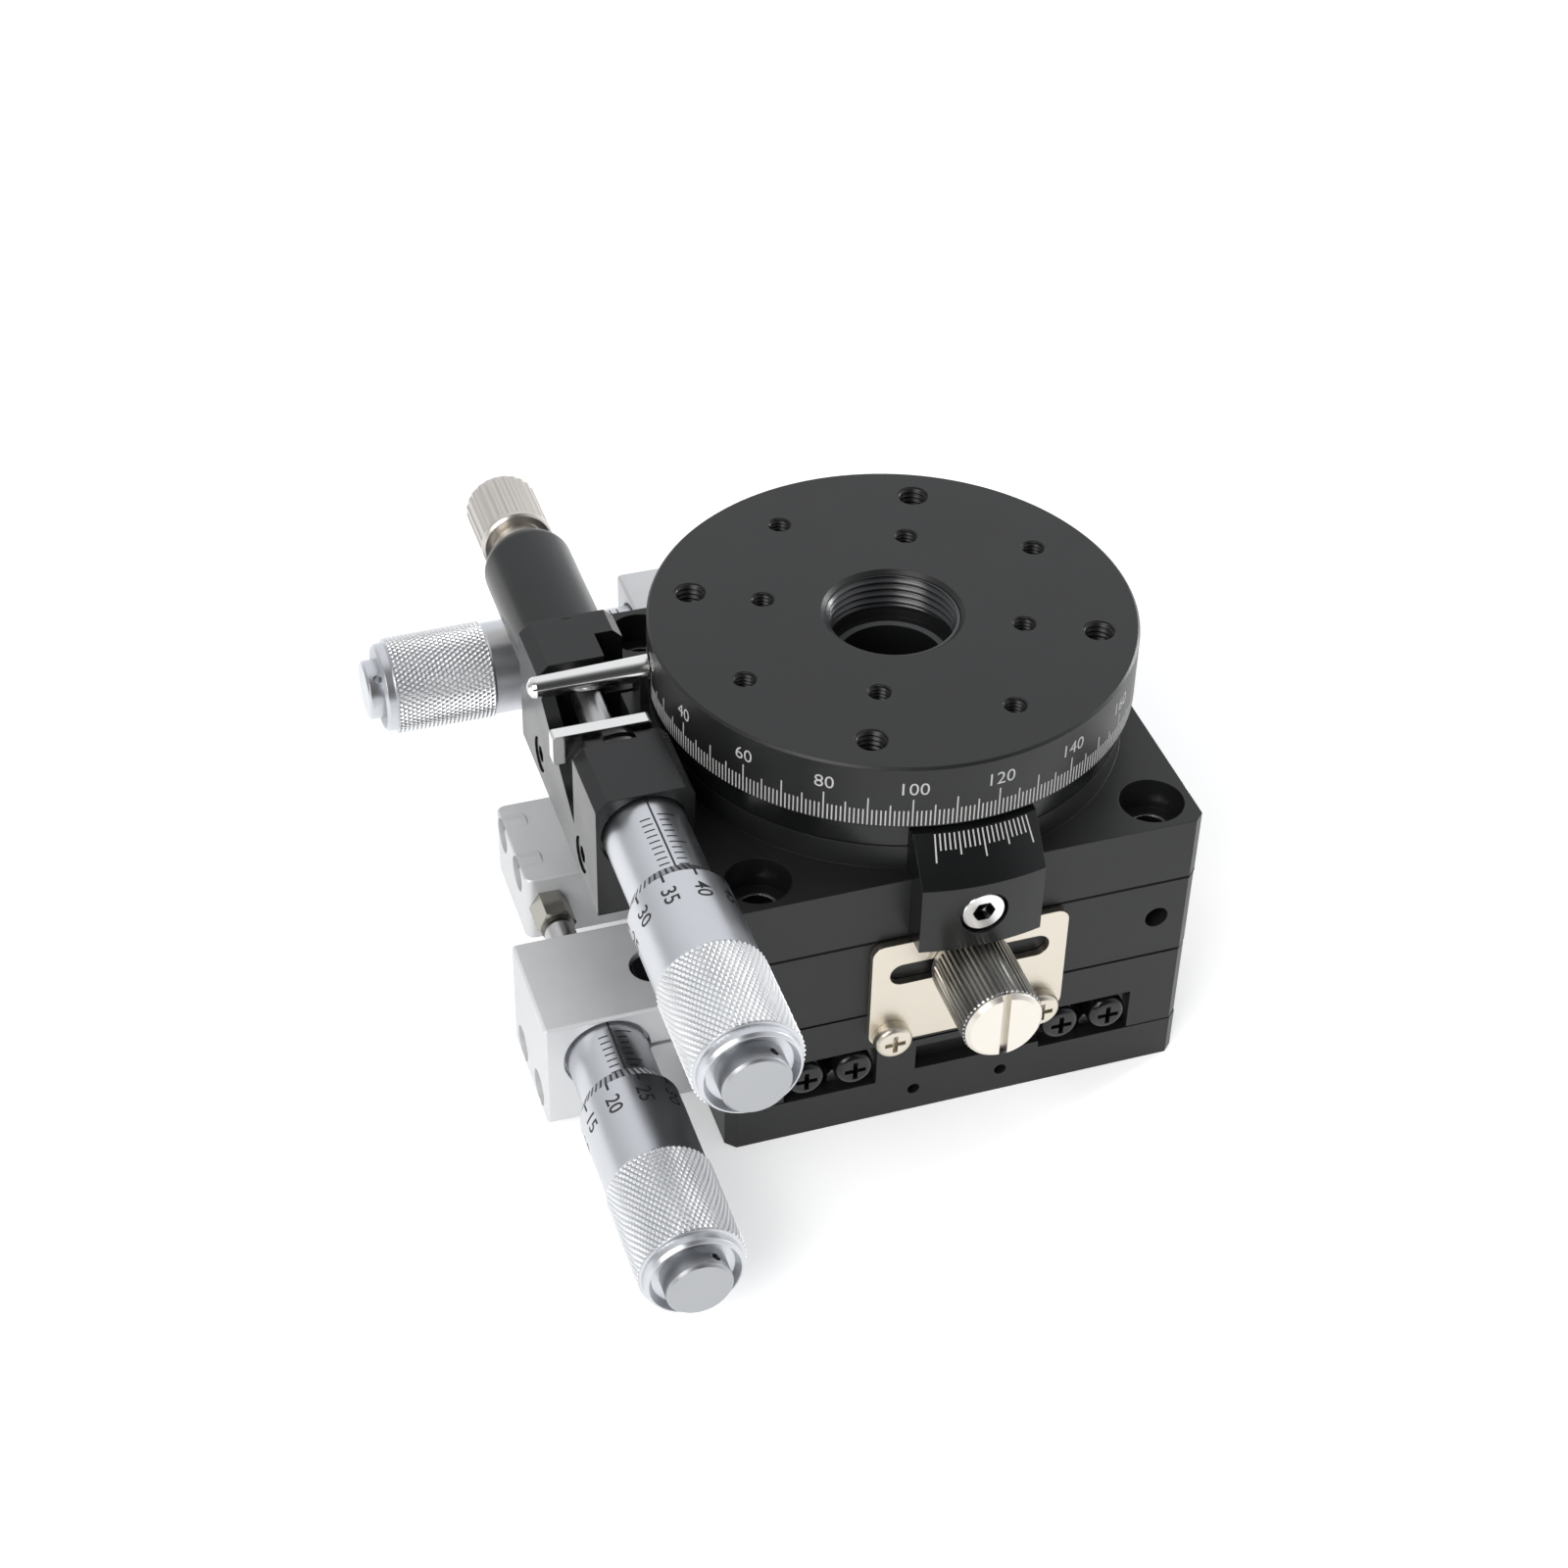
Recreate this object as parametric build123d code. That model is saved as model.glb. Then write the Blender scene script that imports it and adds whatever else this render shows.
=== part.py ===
"""A 60 mm XY and rotation micrometer stage.

Two crossed-roller linear stages are stacked, Y below and X above, and carry a rotary table.
Each motion has its own micrometer head: the linear heads push an anvil screw on the carriage,
and the rotation head pushes a lever that swings the table against a spring plunger.

Frame: +Z up, +Y the way the lower micrometer pushes, the origin at the centre of the underside.
All sizes are in millimetres.
"""
from build123d import *
import math
import os

# Driving dimensions
PLATE = 60.0          # side of the square plates
LEVEL = 12.0          # height that one linear stage adds
BASE_T = 6.0          # thickness of the base plate
SEAM = 0.2            # gap where one plate slides over another
INSET = 0.1           # a carriage is narrower than the plate below by this on each side
EDGE = 1.2            # chamfer down the plates' corners
ROTATION_T = 9.0      # thickness of the rotation base
DISC_R = 30.0         # radius of the rotary table
DISC_BOTTOM = 46.0    # height of the table's underside
DISC_T = 9.0          # thickness of the table's disc
HEAD_TRAVEL = 13.0    # travel of a micrometer head
READING_Y = 6.735     # what the linear heads read at rest
READING_X = 4.9
FIT = 0.05            # radial clearance of a running fit
NEAR = 0.02           # clearance round a fixed screw or seat

HALF = PLATE / 2
STAGE_TOP = BASE_T + 2 * LEVEL          # underside of the rotation base
ROTATION_TOP = STAGE_TOP + ROTATION_T
DISC_TOP = DISC_BOTTOM + DISC_T

# Crossed-roller ways, in the lower stage's own frame
RIB = 10.8            # half width of the rib that carries the inner rails
RAIL_W = 5.7
RAIL_H = 6.0
RAIL_LENGTH = 56.0
WAY_GAP = 0.6         # space between the two rails of a way
ROLLER_R = 1.5
ROLLER_PITCH = 5.0
ROLLERS = 7
CHANNEL = RIB + 2 * RAIL_W + WAY_GAP    # half width of the carriage's channel
CHANNEL_TOP = BASE_T + RAIL_H + 0.3
WAY_X = RIB + RAIL_W + WAY_GAP / 2
WAY_Z = BASE_T + RAIL_H / 2 + 0.15
GROOVE = 2 * (ROLLER_R + 0.03)          # side of the square space between facing grooves

# Pocket for the travel stop in the front end of the rib: left side, floor, roof and depth
STOP_LEFT = -5.7
STOP_FLOOR = 7.0
STOP_ROOF = 10.9
STOP_DEPTH = 2.0

# Lower micrometer, its bracket and its anvil
HEAD_X = -42.6
HEAD_Z = 11.8
BRACKET_FRONT = -21.1
BRACKET_BACK = -5.0
BRACKET_LEFT = -50.4
BRACKET_RIGHT = -30.6
BRACKET_BOTTOM = 1.8
BRACKET_TOP = 17.8
FOOT_BOTTOM = 2.2     # the foot reaches from the bracket to the plate's side
FOOT_TOP = 5.6
SLIT = 0.3            # half width of the clamp's slit
ZERO_Y = -22.465      # where the thimble's edge stands at reading zero
ANVIL_Y = 2.8
TIP_GAP = 0.1

# Parts of a micrometer head, measured back from the thimble's edge
SLEEVE_R = 5.1
STEM_R = 4.75
SPINDLE_R = 2.0
THIMBLE_R = 6.25
KNURL_R = 6.35
RIM_R = 6.0
BEVEL = 2.0
KNURL_START = 14.2
KNURL_END = 27.7
CAVITY_END = 24.0
BORE_END = 26.5
END_FACE = 28.0
RIM = 29.1
CAP_R = 4.0
CAP_END = 31.0
TOMMY_R = 0.55        # cross hole for a tommy bar
TIE_R = 1.5           # stub that joins the cap to the thimble
SLEEVE_BURIED = 3.5

# Rotation drive
ROT_X = -36.3
ROT_Z = 42.6
ROT_ZERO = -19.85     # where the thimble's edge stands at reading zero
ROT_READING = 9.38
BLOCK_LEFT = -42.3
BLOCK_BOTTOM = 31.0
BLOCK_TOP = 48.4
BLOCK_FRONT = -17.0
POCKET_FRONT = -5.4
POCKET_BACK = 9.8
POCKET_FLOOR = 36.9
POCKET_WALL = -40.5   # inner face of the wall beside the pocket
WALL_END = 8.2        # the wall slopes up to here, and to this height
SHOULDER_Z = 44.9
BLOCK_BACK = 19.0
HOUSING_R = 5.85
HOUSING_END = 40.2
PLUNGER_R = 1.95
KNOB_R = 4.75
KNOB_FRONT = 43.4
KNOB_END = 53.6
BOSS_R = 29.0
RING_BOTTOM = 42.6
RING_TOP = 45.8

# Metric fasteners: shank radius, head radius, head height, socket across flats, counterbore
M25 = (1.25, 2.25, 2.5, 2.0, 2.35)
M3 = (1.5, 2.75, 3.0, 2.5, 3.0)
M25_LENGTH = 16.0
M3_LENGTH = 8.0
# Cross-recessed screws: shank radius, head radius, head height, length
RAIL_SCREW = (1.0, 2.5, 2.2, 5.0)
PAN_SCREW = (1.25, 2.4, 1.8, 6.0)
SIDE_SEAT = -42.4     # seat of the long screws that enter the stage from the left

# Fixings of a linear stage: the long screws' (y, z) on the left side, the clamp screw's (x, y)
BRACKET_SCREWS = [(-17.0, 4.4), (-9.0, 4.4)]
ANVIL_SCREWS = [(11.6, 14.2), (19.4, 14.2)]
CLAMP_AT = (-34.6, -13.6)
CLAMP_SEAT = 14.4
ANVIL_FRONT = 7.3
ANVIL_BACK = 23.0
ANVIL_LEFT = -45.6
ANVIL_TOP = 16.3
LOCK_Z = 12.8
LOCK_SCREWS = [(-9.6, 3.0), (9.6, 3.0)]
LOCK_PLATE_T = 1.0
LOCK_PLATE_Y = (-12.4, 12.7)
LOCK_PLATE_Z = (1.7, 17.8)
LOCK_SLOT = (20.5, 3.2)         # overall length and width
LOCK_HEAD_R = 4.85     # the straight knurl stands on this
LOCK_HEAD_H = 11.9

# Screws between the upper plate and the rotation base, and the customer's corner holes
CORNER = 25.0         # the corner holes stand on a 50 mm square
JOIN_AT = [(sx * 24.0, sy * 6.0) for sx in (-1, 1) for sy in (-1, 1)]
JOIN_SEAT = STAGE_TOP - 2.6

# Crossed-roller bearing of the table
BEARING_Z = STAGE_TOP + 6.0
BEARING_HALF = 3.0
OUTER_RACE_R = 22.0
INNER_RACE_R = 14.0
RACE_GAP_R = 17.9
RACE_ROLLER_R = 1.25
RACE_ROLLERS = 20

# Vernier block and the rotation bracket's screws
VERNIER_HALF = 7.7
VERNIER_SCREW_Z = 35.5
VERNIER_SEAT = -31.2
ROT_SCREWS = [(-9.6, 34.5), (10.2, 34.5)]
ROT_SCREW_SEAT = -39.6

# Bore and holes of the table
HOLE_DEPTH = 7.0
TABLE_BORE_R = 8.3
LEDGE_Z = 48.0
HUB_BORE_R = 6.5
HOLE_CIRCLES = [       # pitch circle diameter, hole radius, angle of the first hole
    (50.0, 2.0, 64.6),
    (45.25, 1.5, 19.6),
    (32.0, 1.5, 64.6),
]

# Plunger's spring space, the lever's two faces and the knob
SPRING_CAVITY_R = 4.2
SPRING_FRONT = 21.0
FLANGE_T = 1.6
LEVER_FACE = -4.8     # front of the contact plate, which the spindle pushes
LEVER_BACK = -3.1
LEVER_GAP = 0.12      # room at each tip, so that the arm may swing
FLUTES = 24

# Directions in which a fastener's head can point
DOWN = Rot(180, 0, 0)
FRONT = Rot(90, 0, 0)
BACK = Rot(-90, 0, 0)
LEFT = Rot(0, -90, 0)
RIGHT = Rot(0, 90, 0)

os.makedirs("parts", exist_ok=True)


# Shared forms

def block(x0, x1, y0, y1, z0, z1):
    """Box between two corners."""
    return Pos((x0 + x1) / 2, (y0 + y1) / 2, (z0 + z1) / 2) * Box(x1 - x0, y1 - y0, z1 - z0)


def rod(radius, start, end):
    """Cylinder along Y between two stations."""
    return Pos(0, (start + end) / 2, 0) * Rot(90, 0, 0) * Cylinder(radius, end - start)


def post(radius, start, end):
    """Cylinder along Z between two heights."""
    return Pos(0, 0, (start + end) / 2) * Cylinder(radius, end - start)


def turned_y(*outline):
    """Solid turned about Y from (station, radius) points."""
    points = [(radius, station) for station, radius in outline]
    return revolve(make_face(Polyline(*points, close=True)), Axis.Y)


def turned_z(*outline):
    """Solid turned about Z from (radius, height) points."""
    return revolve(Plane.XZ * make_face(Polyline(*outline, close=True)), Axis.Z)


def group(pieces):
    """Separate solids kept together as one node."""
    return Compound(children=[solid for piece in pieces for solid in piece.solids()])


def plate(half_x, half_y, z0, z1):
    """Square plate with chamfered corners."""
    body = block(-half_x, half_x, -half_y, half_y, z0, z1)
    return chamfer(body.edges().filter_by(Axis.Z), EDGE)


def cap_screw(size, length):
    """Socket head cap screw: seat at the origin, head towards +Z, shank towards -Z."""
    shank_r, head_r, head_h, across, _ = size
    head = chamfer(post(head_r, 0, head_h).edges().group_by(Axis.Z)[-1], 0.2)
    socket = Pos(0, 0, head_h * 0.45) * extrude(RegularPolygon(across / math.sqrt(3), 6), head_h)
    return head - socket + post(shank_r, -length, 0)


def cross_screw(shank_r, head_r, head_h, length):
    """Pan head screw with a cross recess, laid out like cap_screw."""
    head = fillet(post(head_r, 0, head_h).edges().group_by(Axis.Z)[-1], 0.45 * head_h)
    arm = Pos(0, 0, head_h) * Box(1.1 * head_r, 0.25 * head_r, head_h)
    return head - arm - Rot(0, 0, 90) * arm + post(shank_r, -length, 0)


def screw_hole(size, length):
    """Counterbore and clearance hole for a cap screw whose seat is at the origin."""
    shank_r, counterbore_r = size[0], size[4]
    return post(counterbore_r, 0, PLATE) + post(shank_r + NEAR, -length - 0.3, 0)


# One linear stage, drawn as the lower one; the upper one is turned and raised

def stage_base():
    """Rib between the inner rails, with the stop pocket at its front end."""
    rib = block(-RIB, RIB, -HALF, HALF, BASE_T - 1, BASE_T + RAIL_H)
    return rib - block(STOP_LEFT, RIB + 1, -HALF - 1, -HALF + STOP_DEPTH, STOP_FLOOR, STOP_ROOF)


def stage_carriage():
    """Carriage plate with the channel for the outer rails."""
    body = plate(HALF - INSET, HALF, BASE_T + SEAM, BASE_T + LEVEL)
    channel = block(-CHANNEL, CHANNEL, -PLATE, PLATE, 0, CHANNEL_TOP)
    return body - channel


def roller_space():
    """Square space between the two grooves of a way, along Y."""
    return Rot(0, 45, 0) * Box(GROOVE, PLATE, GROOVE)


def rails(inner):
    """The two inner or the two outer rails, each with its groove."""
    x0 = RIB if inner else RIB + RAIL_W + WAY_GAP
    z0 = BASE_T if inner else CHANNEL_TOP - RAIL_H
    half = RAIL_LENGTH / 2
    tapped = rod(RAIL_SCREW[0] + NEAR, -PLATE, PLATE)
    centre = (x0 + RAIL_W / 2, 0, WAY_Z)
    rail = block(x0, x0 + RAIL_W, -half, half, z0, z0 + RAIL_H)
    rail -= Pos(WAY_X, 0, WAY_Z) * roller_space()
    rail -= Pos(*centre) * tapped
    return group([rail, mirror(rail, Plane.YZ)])


def rail_end_screws(inner):
    """Cross screws that close both ends of the two rails."""
    x = RIB + RAIL_W / 2 if inner else CHANNEL - RAIL_W / 2
    screw = cross_screw(*RAIL_SCREW)
    end = RAIL_LENGTH / 2 + 0.02
    places = [(side * x, face) for side in (-1, 1) for face in (-1, 1)]
    return [Pos(px, face * end, WAY_Z) * (FRONT if face < 0 else BACK) * screw
            for px, face in places]


def roller_stations():
    return [(i - (ROLLERS - 1) / 2) * ROLLER_PITCH for i in range(ROLLERS)]


def roller_cages():
    """Thin strips that space the rollers in the two ways."""
    window = 2 * (ROLLER_R + 0.1)
    strip = Box(0.3, ROLLERS * ROLLER_PITCH + 3, 5.4)
    for y in roller_stations():
        strip -= Pos(0, y, 0) * Box(1, window, window * math.sqrt(2))
    return group([Pos(side * WAY_X, 0, WAY_Z) * strip for side in (-1, 1)])


def rollers():
    """Rollers of both ways, crossed in turn."""
    pieces = []
    for side in (-1, 1):
        for i, y in enumerate(roller_stations()):
            tilt = 45 if i % 2 else -45
            pieces.append(Pos(side * WAY_X, y, WAY_Z) * Rot(0, tilt, 0)
                          * Cylinder(ROLLER_R, 2 * ROLLER_R - 0.1))
    return group(pieces)


def at_head(shape):
    return Pos(HEAD_X, 0, HEAD_Z) * shape


def micrometer_bracket():
    """Split clamp that holds a micrometer's stem, with its foot on the base."""
    body = block(BRACKET_LEFT, BRACKET_RIGHT, BRACKET_FRONT, BRACKET_BACK, BRACKET_BOTTOM, BRACKET_TOP)
    body = chamfer(body.edges(), 0.3)
    body += block(BRACKET_RIGHT - 1, -HALF, BRACKET_FRONT + 0.5, BRACKET_BACK - 0.5,
                  FOOT_BOTTOM, FOOT_TOP)
    body -= at_head(rod(STEM_R + NEAR, BRACKET_FRONT - 1, BRACKET_BACK + 1))
    body -= at_head(rod(SLEEVE_R + 0.4, BRACKET_FRONT - 1, BRACKET_FRONT + 1))
    body -= block(HEAD_X, 0, BRACKET_FRONT - 1, BRACKET_BACK + 1, HEAD_Z - SLIT, HEAD_Z + SLIT)
    body -= Pos(*CLAMP_AT, CLAMP_SEAT) * screw_hole(M3, 10)
    for y, z in BRACKET_SCREWS:
        body -= Pos(SIDE_SEAT, y, z) * LEFT * screw_hole(M25, M25_LENGTH)
    return body


def side_screws(places):
    """The long screws that hold a bracket to the stage's left side."""
    return [Pos(SIDE_SEAT, y, z) * LEFT * cap_screw(M25, M25_LENGTH) for y, z in places]


def clamp_screw():
    return Pos(*CLAMP_AT, CLAMP_SEAT) * cap_screw(M3, 9.5)


def sleeve(front, shoulder, zero):
    """Graduated sleeve: the stem ahead of the shoulder, the barrel behind it."""
    rear = zero - HEAD_TRAVEL - SLEEVE_BURIED
    return turned_y((front, SPINDLE_R + FIT), (front, STEM_R - 0.3), (front - 0.3, STEM_R),
                    (shoulder, STEM_R), (shoulder, SLEEVE_R), (rear, SLEEVE_R),
                    (rear, SPINDLE_R + FIT))


def spindle(tip, edge):
    """Spindle with a domed tip; its rear end carries the thimble."""
    rear = edge - BORE_END + 0.1
    return turned_y((tip, 0), (tip, 0.6), (tip - 0.15, 1.2), (tip - 0.5, 1.7),
                    (tip - 1.0, SPINDLE_R), (rear, SPINDLE_R), (rear, 0))


def thimble(edge):
    """Thimble with a graduated bevel, a grip for the knurl and a dished end."""
    return turned_y((edge, SLEEVE_R + FIT), (edge, SLEEVE_R + 0.2), (edge - BEVEL, THIMBLE_R),
                    (edge - KNURL_START, THIMBLE_R), (edge - KNURL_START - 0.3, KNURL_R),
                    (edge - KNURL_END + 0.1, KNURL_R), (edge - KNURL_END, RIM_R),
                    (edge - RIM + 0.4, RIM_R - 0.05), (edge - RIM, RIM_R - 0.35),
                    (edge - RIM, RIM_R - 0.5), (edge - END_FACE, RIM_R - 1.0),
                    (edge - END_FACE, TIE_R + FIT), (edge - BORE_END - 0.2, TIE_R + FIT),
                    (edge - BORE_END - 0.2, SPINDLE_R + FIT),
                    (edge - CAVITY_END, SPINDLE_R + FIT), (edge - CAVITY_END, SLEEVE_R + FIT))


def thimble_cap(edge):
    """Round cap in the thimble's dished end, with a cross hole for a tommy bar."""
    face = edge - END_FACE - NEAR
    cap = turned_y((face, 0), (face, CAP_R), (edge - CAP_END + 0.3, CAP_R),
                   (edge - CAP_END, CAP_R - 0.3), (edge - CAP_END, 0))
    cap += rod(TIE_R, face, edge - BORE_END - 0.3)
    cross_hole = Rot(0, 35, 0) * post(TOMMY_R, -THIMBLE_R, THIMBLE_R)
    return cap - Pos(0, (face + edge - CAP_END) / 2, 0) * cross_hole


def anvil_bracket():
    """Block on the carriage that the micrometer pushes."""
    body = block(ANVIL_LEFT, -HALF + INSET, ANVIL_FRONT, ANVIL_BACK, BASE_T + 0.5, ANVIL_TOP)
    body = fillet(body.edges().filter_by(Axis.Z).group_by(Axis.X)[0], 1.2)
    body = chamfer(body.edges().group_by(Axis.Z)[-1], 0.2)
    body -= at_head(rod(1.5 + NEAR, ANVIL_FRONT - 1, ANVIL_FRONT + 1.75))
    for y, z in ANVIL_SCREWS:
        body -= Pos(SIDE_SEAT, y, z) * LEFT * screw_hole(M25, M25_LENGTH)
    return body


def anvil_screw():
    """Hexagon head screw whose polished face meets the spindle."""
    face_r = 2.6
    hexagon = Rot(90, 0, 0) * extrude(RegularPolygon(face_r, 6), ANVIL_FRONT - ANVIL_Y - NEAR)
    limit = turned_y((ANVIL_FRONT, 0), (ANVIL_FRONT, face_r), (ANVIL_Y + 0.3, face_r),
                     (ANVIL_Y, face_r - 0.4), (ANVIL_Y, 0))
    head = (Pos(0, ANVIL_FRONT - NEAR, 0) * hexagon) & limit
    return at_head(head + rod(1.5, ANVIL_FRONT - 0.1, ANVIL_FRONT + 1.7))


def lock_plate():
    """Slotted plate on the side of the base: the lock screw clamps it to the carriage."""
    body = block(HALF, HALF + LOCK_PLATE_T, *LOCK_PLATE_Y, *LOCK_PLATE_Z)
    body = fillet(body.edges().filter_by(Axis.X), 1.6)
    slot = Rot(0, 90, 0) * extrude(Rot(0, 0, 90) * SlotOverall(*LOCK_SLOT), 2 * LOCK_PLATE_T)
    body -= Pos(HALF - 0.5, sum(LOCK_PLATE_Y) / 2, LOCK_Z) * slot
    for y, z in LOCK_SCREWS:
        body -= Pos(HALF, y, z) * RIGHT * post(PAN_SCREW[0] + NEAR, -2, 2)
    return body


def lock_plate_screws():
    screw = cross_screw(*PAN_SCREW)
    seat = HALF + LOCK_PLATE_T + NEAR
    return group([Pos(seat, y, z) * RIGHT * screw for y, z in LOCK_SCREWS])


def lock_screw():
    """Thumb screw with a straight knurled head and a slotted end."""
    seat = HALF + LOCK_PLATE_T + 0.1
    head = post(LOCK_HEAD_R, 0, LOCK_HEAD_H)
    head = chamfer(head.edges().group_by(Axis.Z)[-1], 0.5)
    head -= Pos(0, 0, LOCK_HEAD_H) * Box(3 * LOCK_HEAD_R, 1.0, 2.4)
    screw = head + post(1.5, -7, 0)
    return Pos(seat, 0, LOCK_Z) * RIGHT * screw


def stage_holes():
    """What the fixings of one stage take out of the plate that they enter."""
    deep = post(M25[0] + NEAR, -M25_LENGTH - 0.3, 0)
    base_cuts = [Pos(SIDE_SEAT, y, z) * LEFT * deep for y, z in BRACKET_SCREWS]
    base_cuts += [Pos(HALF, y, z) * RIGHT * post(PAN_SCREW[0] + NEAR, -6, 1) for y, z in LOCK_SCREWS]
    carriage_cuts = [Pos(SIDE_SEAT, y, z) * LEFT * deep for y, z in ANVIL_SCREWS]
    carriage_cuts.append(Pos(HALF, 0, LOCK_Z) * RIGHT * post(1.5 + FIT, -6.6, 1))
    return base_cuts, carriage_cuts


def linear_stage(reading):
    """All pieces of one linear stage by name, except its plates."""
    edge = ZERO_Y - reading
    return {
        "inner_rails": rails(True),
        "outer_rails": rails(False),
        "roller_cages": roller_cages(),
        "rollers": rollers(),
        "micrometer_bracket": micrometer_bracket(),
        "clamp_screw": clamp_screw(),
        "sleeve": at_head(sleeve(BRACKET_BACK + 1, BRACKET_FRONT + 0.9, ZERO_Y)),
        "spindle": at_head(spindle(ANVIL_Y - TIP_GAP, edge)),
        "thimble": at_head(thimble(edge)),
        "thimble_cap": at_head(thimble_cap(edge)),
        "anvil_bracket": anvil_bracket(),
        "anvil_screw": anvil_screw(),
        "lock_plate": lock_plate(),
        "lock_plate_screws": lock_plate_screws(),
        "lock_screw": lock_screw(),
    }


def raised(shape):
    """Take a piece of the lower stage to its place in the upper one."""
    return Pos(0, 0, LEVEL) * Rot(0, 0, -90) * shape


def raised_all(shapes):
    return [raised(shape) for shape in shapes]


def corners():
    return [(sx * CORNER, sy * CORNER) for sx in (-1, 1) for sy in (-1, 1)]


def base_plate():
    body = plate(HALF, HALF, 0, BASE_T) + stage_base()
    for cut in stage_holes()[0]:
        body -= cut
    for x, y in corners():
        body -= Pos(x, y, 0) * post(2.0, -1, BASE_T + 1)
    for x in (-5.7, 5.9):
        body -= Pos(x, -HALF, 3.5) * FRONT * post(0.8, -5, 1)
    return body


def middle_plate():
    body = stage_carriage() + raised(stage_base())
    base_cuts, carriage_cuts = stage_holes()
    for cut in carriage_cuts + [raised(cut) for cut in base_cuts]:
        body -= cut
    return body


def upper_plate():
    body = raised(stage_carriage())
    for cut in stage_holes()[1]:
        body -= raised(cut)
    for x, y in corners():
        body -= Pos(x, y, 0) * post(2.0, STAGE_TOP - 8, STAGE_TOP + 1)
    for x, y in JOIN_AT:
        body -= Pos(x, y, JOIN_SEAT) * DOWN * screw_hole(M3, M3_LENGTH)
    return body - Pos(25.1, -HALF, 24.2) * FRONT * post(1.5, -6, 1)


def rotary_cap_screws():
    """Four screws up into the rotation base, and the one that holds the vernier block."""
    screw = cap_screw(M3, M3_LENGTH)
    places = [Pos(x, y, JOIN_SEAT) * DOWN for x, y in JOIN_AT]
    places.append(Pos(0, VERNIER_SEAT, VERNIER_SCREW_Z) * FRONT)
    return group([place * screw for place in places])


# Rotation base, bearing and table


def rotation_base():
    """Square body with the round boss and the well for the bearing."""
    floor = BEARING_Z - BEARING_HALF
    body = plate(HALF, HALF, STAGE_TOP, ROTATION_TOP) + post(BOSS_R, ROTATION_TOP, RING_BOTTOM - SEAM)
    body -= post(OUTER_RACE_R, floor, DISC_BOTTOM)
    body -= post(OUTER_RACE_R - 3.5, floor - 1.4, floor + 1)
    body -= post(7.5, 0, floor)
    for x, y in corners():
        body -= Pos(x, y, ROTATION_TOP - 4.3) * (post(4.0, 0, PLATE) + post(2.25, -10, 1))
    for x, y in JOIN_AT:
        body -= Pos(x, y, JOIN_SEAT) * DOWN * post(M3[0] + NEAR, -M3_LENGTH - 0.3, 0)
    for y, z in ROT_SCREWS:
        body -= Pos(ROT_SCREW_SEAT, y, z) * LEFT * post(M25[0] + NEAR, -M25_LENGTH - 0.3, 0)
    return body - Pos(0, VERNIER_SEAT, VERNIER_SCREW_Z) * FRONT * screw_hole(M3, M3_LENGTH)


def race_groove():
    """Half diagonal and half width of the groove that the rollers run in."""
    reach = (RACE_ROLLER_R + 0.03) * math.sqrt(2)
    return reach, reach - 0.2


def bearing_outer_ring():
    reach, mouth = race_groove()
    face = RACE_GAP_R + 0.2
    low, high = BEARING_Z - BEARING_HALF, BEARING_Z + BEARING_HALF
    return turned_z((face, low), (OUTER_RACE_R - NEAR, low), (OUTER_RACE_R - NEAR, high),
                    (face, high), (face, BEARING_Z + mouth), (RACE_GAP_R + reach, BEARING_Z),
                    (face, BEARING_Z - mouth))


def bearing_inner_ring():
    reach, mouth = race_groove()
    face = RACE_GAP_R - 0.2
    bore = INNER_RACE_R + NEAR
    low, high = BEARING_Z - BEARING_HALF + 0.1, BEARING_Z + BEARING_HALF
    return turned_z((bore, low), (face, low), (face, BEARING_Z - mouth),
                    (RACE_GAP_R - reach, BEARING_Z), (face, BEARING_Z + mouth), (face, high),
                    (bore, high))


def bearing_rollers():
    """Crossed rollers round the race."""
    pieces = []
    for i in range(RACE_ROLLERS):
        tilt = 45 if i % 2 else -45
        place = Rot(0, 0, i * 360 / RACE_ROLLERS) * Pos(RACE_GAP_R, 0, BEARING_Z) * Rot(0, tilt, 0)
        pieces.append(place * Cylinder(RACE_ROLLER_R, 2 * RACE_ROLLER_R - 0.1))
    return group(pieces)


def table():
    """Disc and hub in one, with the threaded bore and three circles of threaded holes."""
    disc = post(DISC_R, DISC_BOTTOM, DISC_TOP)
    disc = chamfer(disc.edges(), 0.3)
    hub_foot = BEARING_Z - BEARING_HALF + 0.1
    body = disc + post(INNER_RACE_R, hub_foot, DISC_BOTTOM)
    body -= post(HUB_BORE_R, STAGE_TOP, LEDGE_Z)
    body -= post(TABLE_BORE_R, LEDGE_Z, DISC_TOP + 1)
    body -= turned_z((0, DISC_TOP - 0.5), (TABLE_BORE_R, DISC_TOP - 0.5),
                     (TABLE_BORE_R + 0.6, DISC_TOP + 0.1), (0, DISC_TOP + 0.1))
    for circle, radius, first in HOLE_CIRCLES:
        hole = post(radius, DISC_TOP - HOLE_DEPTH, DISC_TOP + 1)
        for quarter in range(4):
            body -= Rot(0, 0, first + 90 * quarter) * Pos(circle / 2, 0, 0) * hole
    return body


def vernier_block():
    """Block on the front face whose bevel carries the vernier beside the table's scale."""
    ring = turned_z((29.3, 30.5), (34.5, 30.5), (34.5, 40.0), (30.4, 45.5), (29.3, 45.5))
    body = ring & block(-VERNIER_HALF, VERNIER_HALF, -PLATE, -20, 0, PLATE)
    body -= block(-PLATE, PLATE, -HALF, 0, 0, ROTATION_TOP + 0.05)
    return body - Pos(0, VERNIER_SEAT, VERNIER_SCREW_Z) * FRONT * screw_hole(M3, M3_LENGTH)


# Rotation drive on the left face: bracket, micrometer, lever and spring plunger

def at_drive(shape):
    return Pos(ROT_X, 0, ROT_Z) * shape


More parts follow.
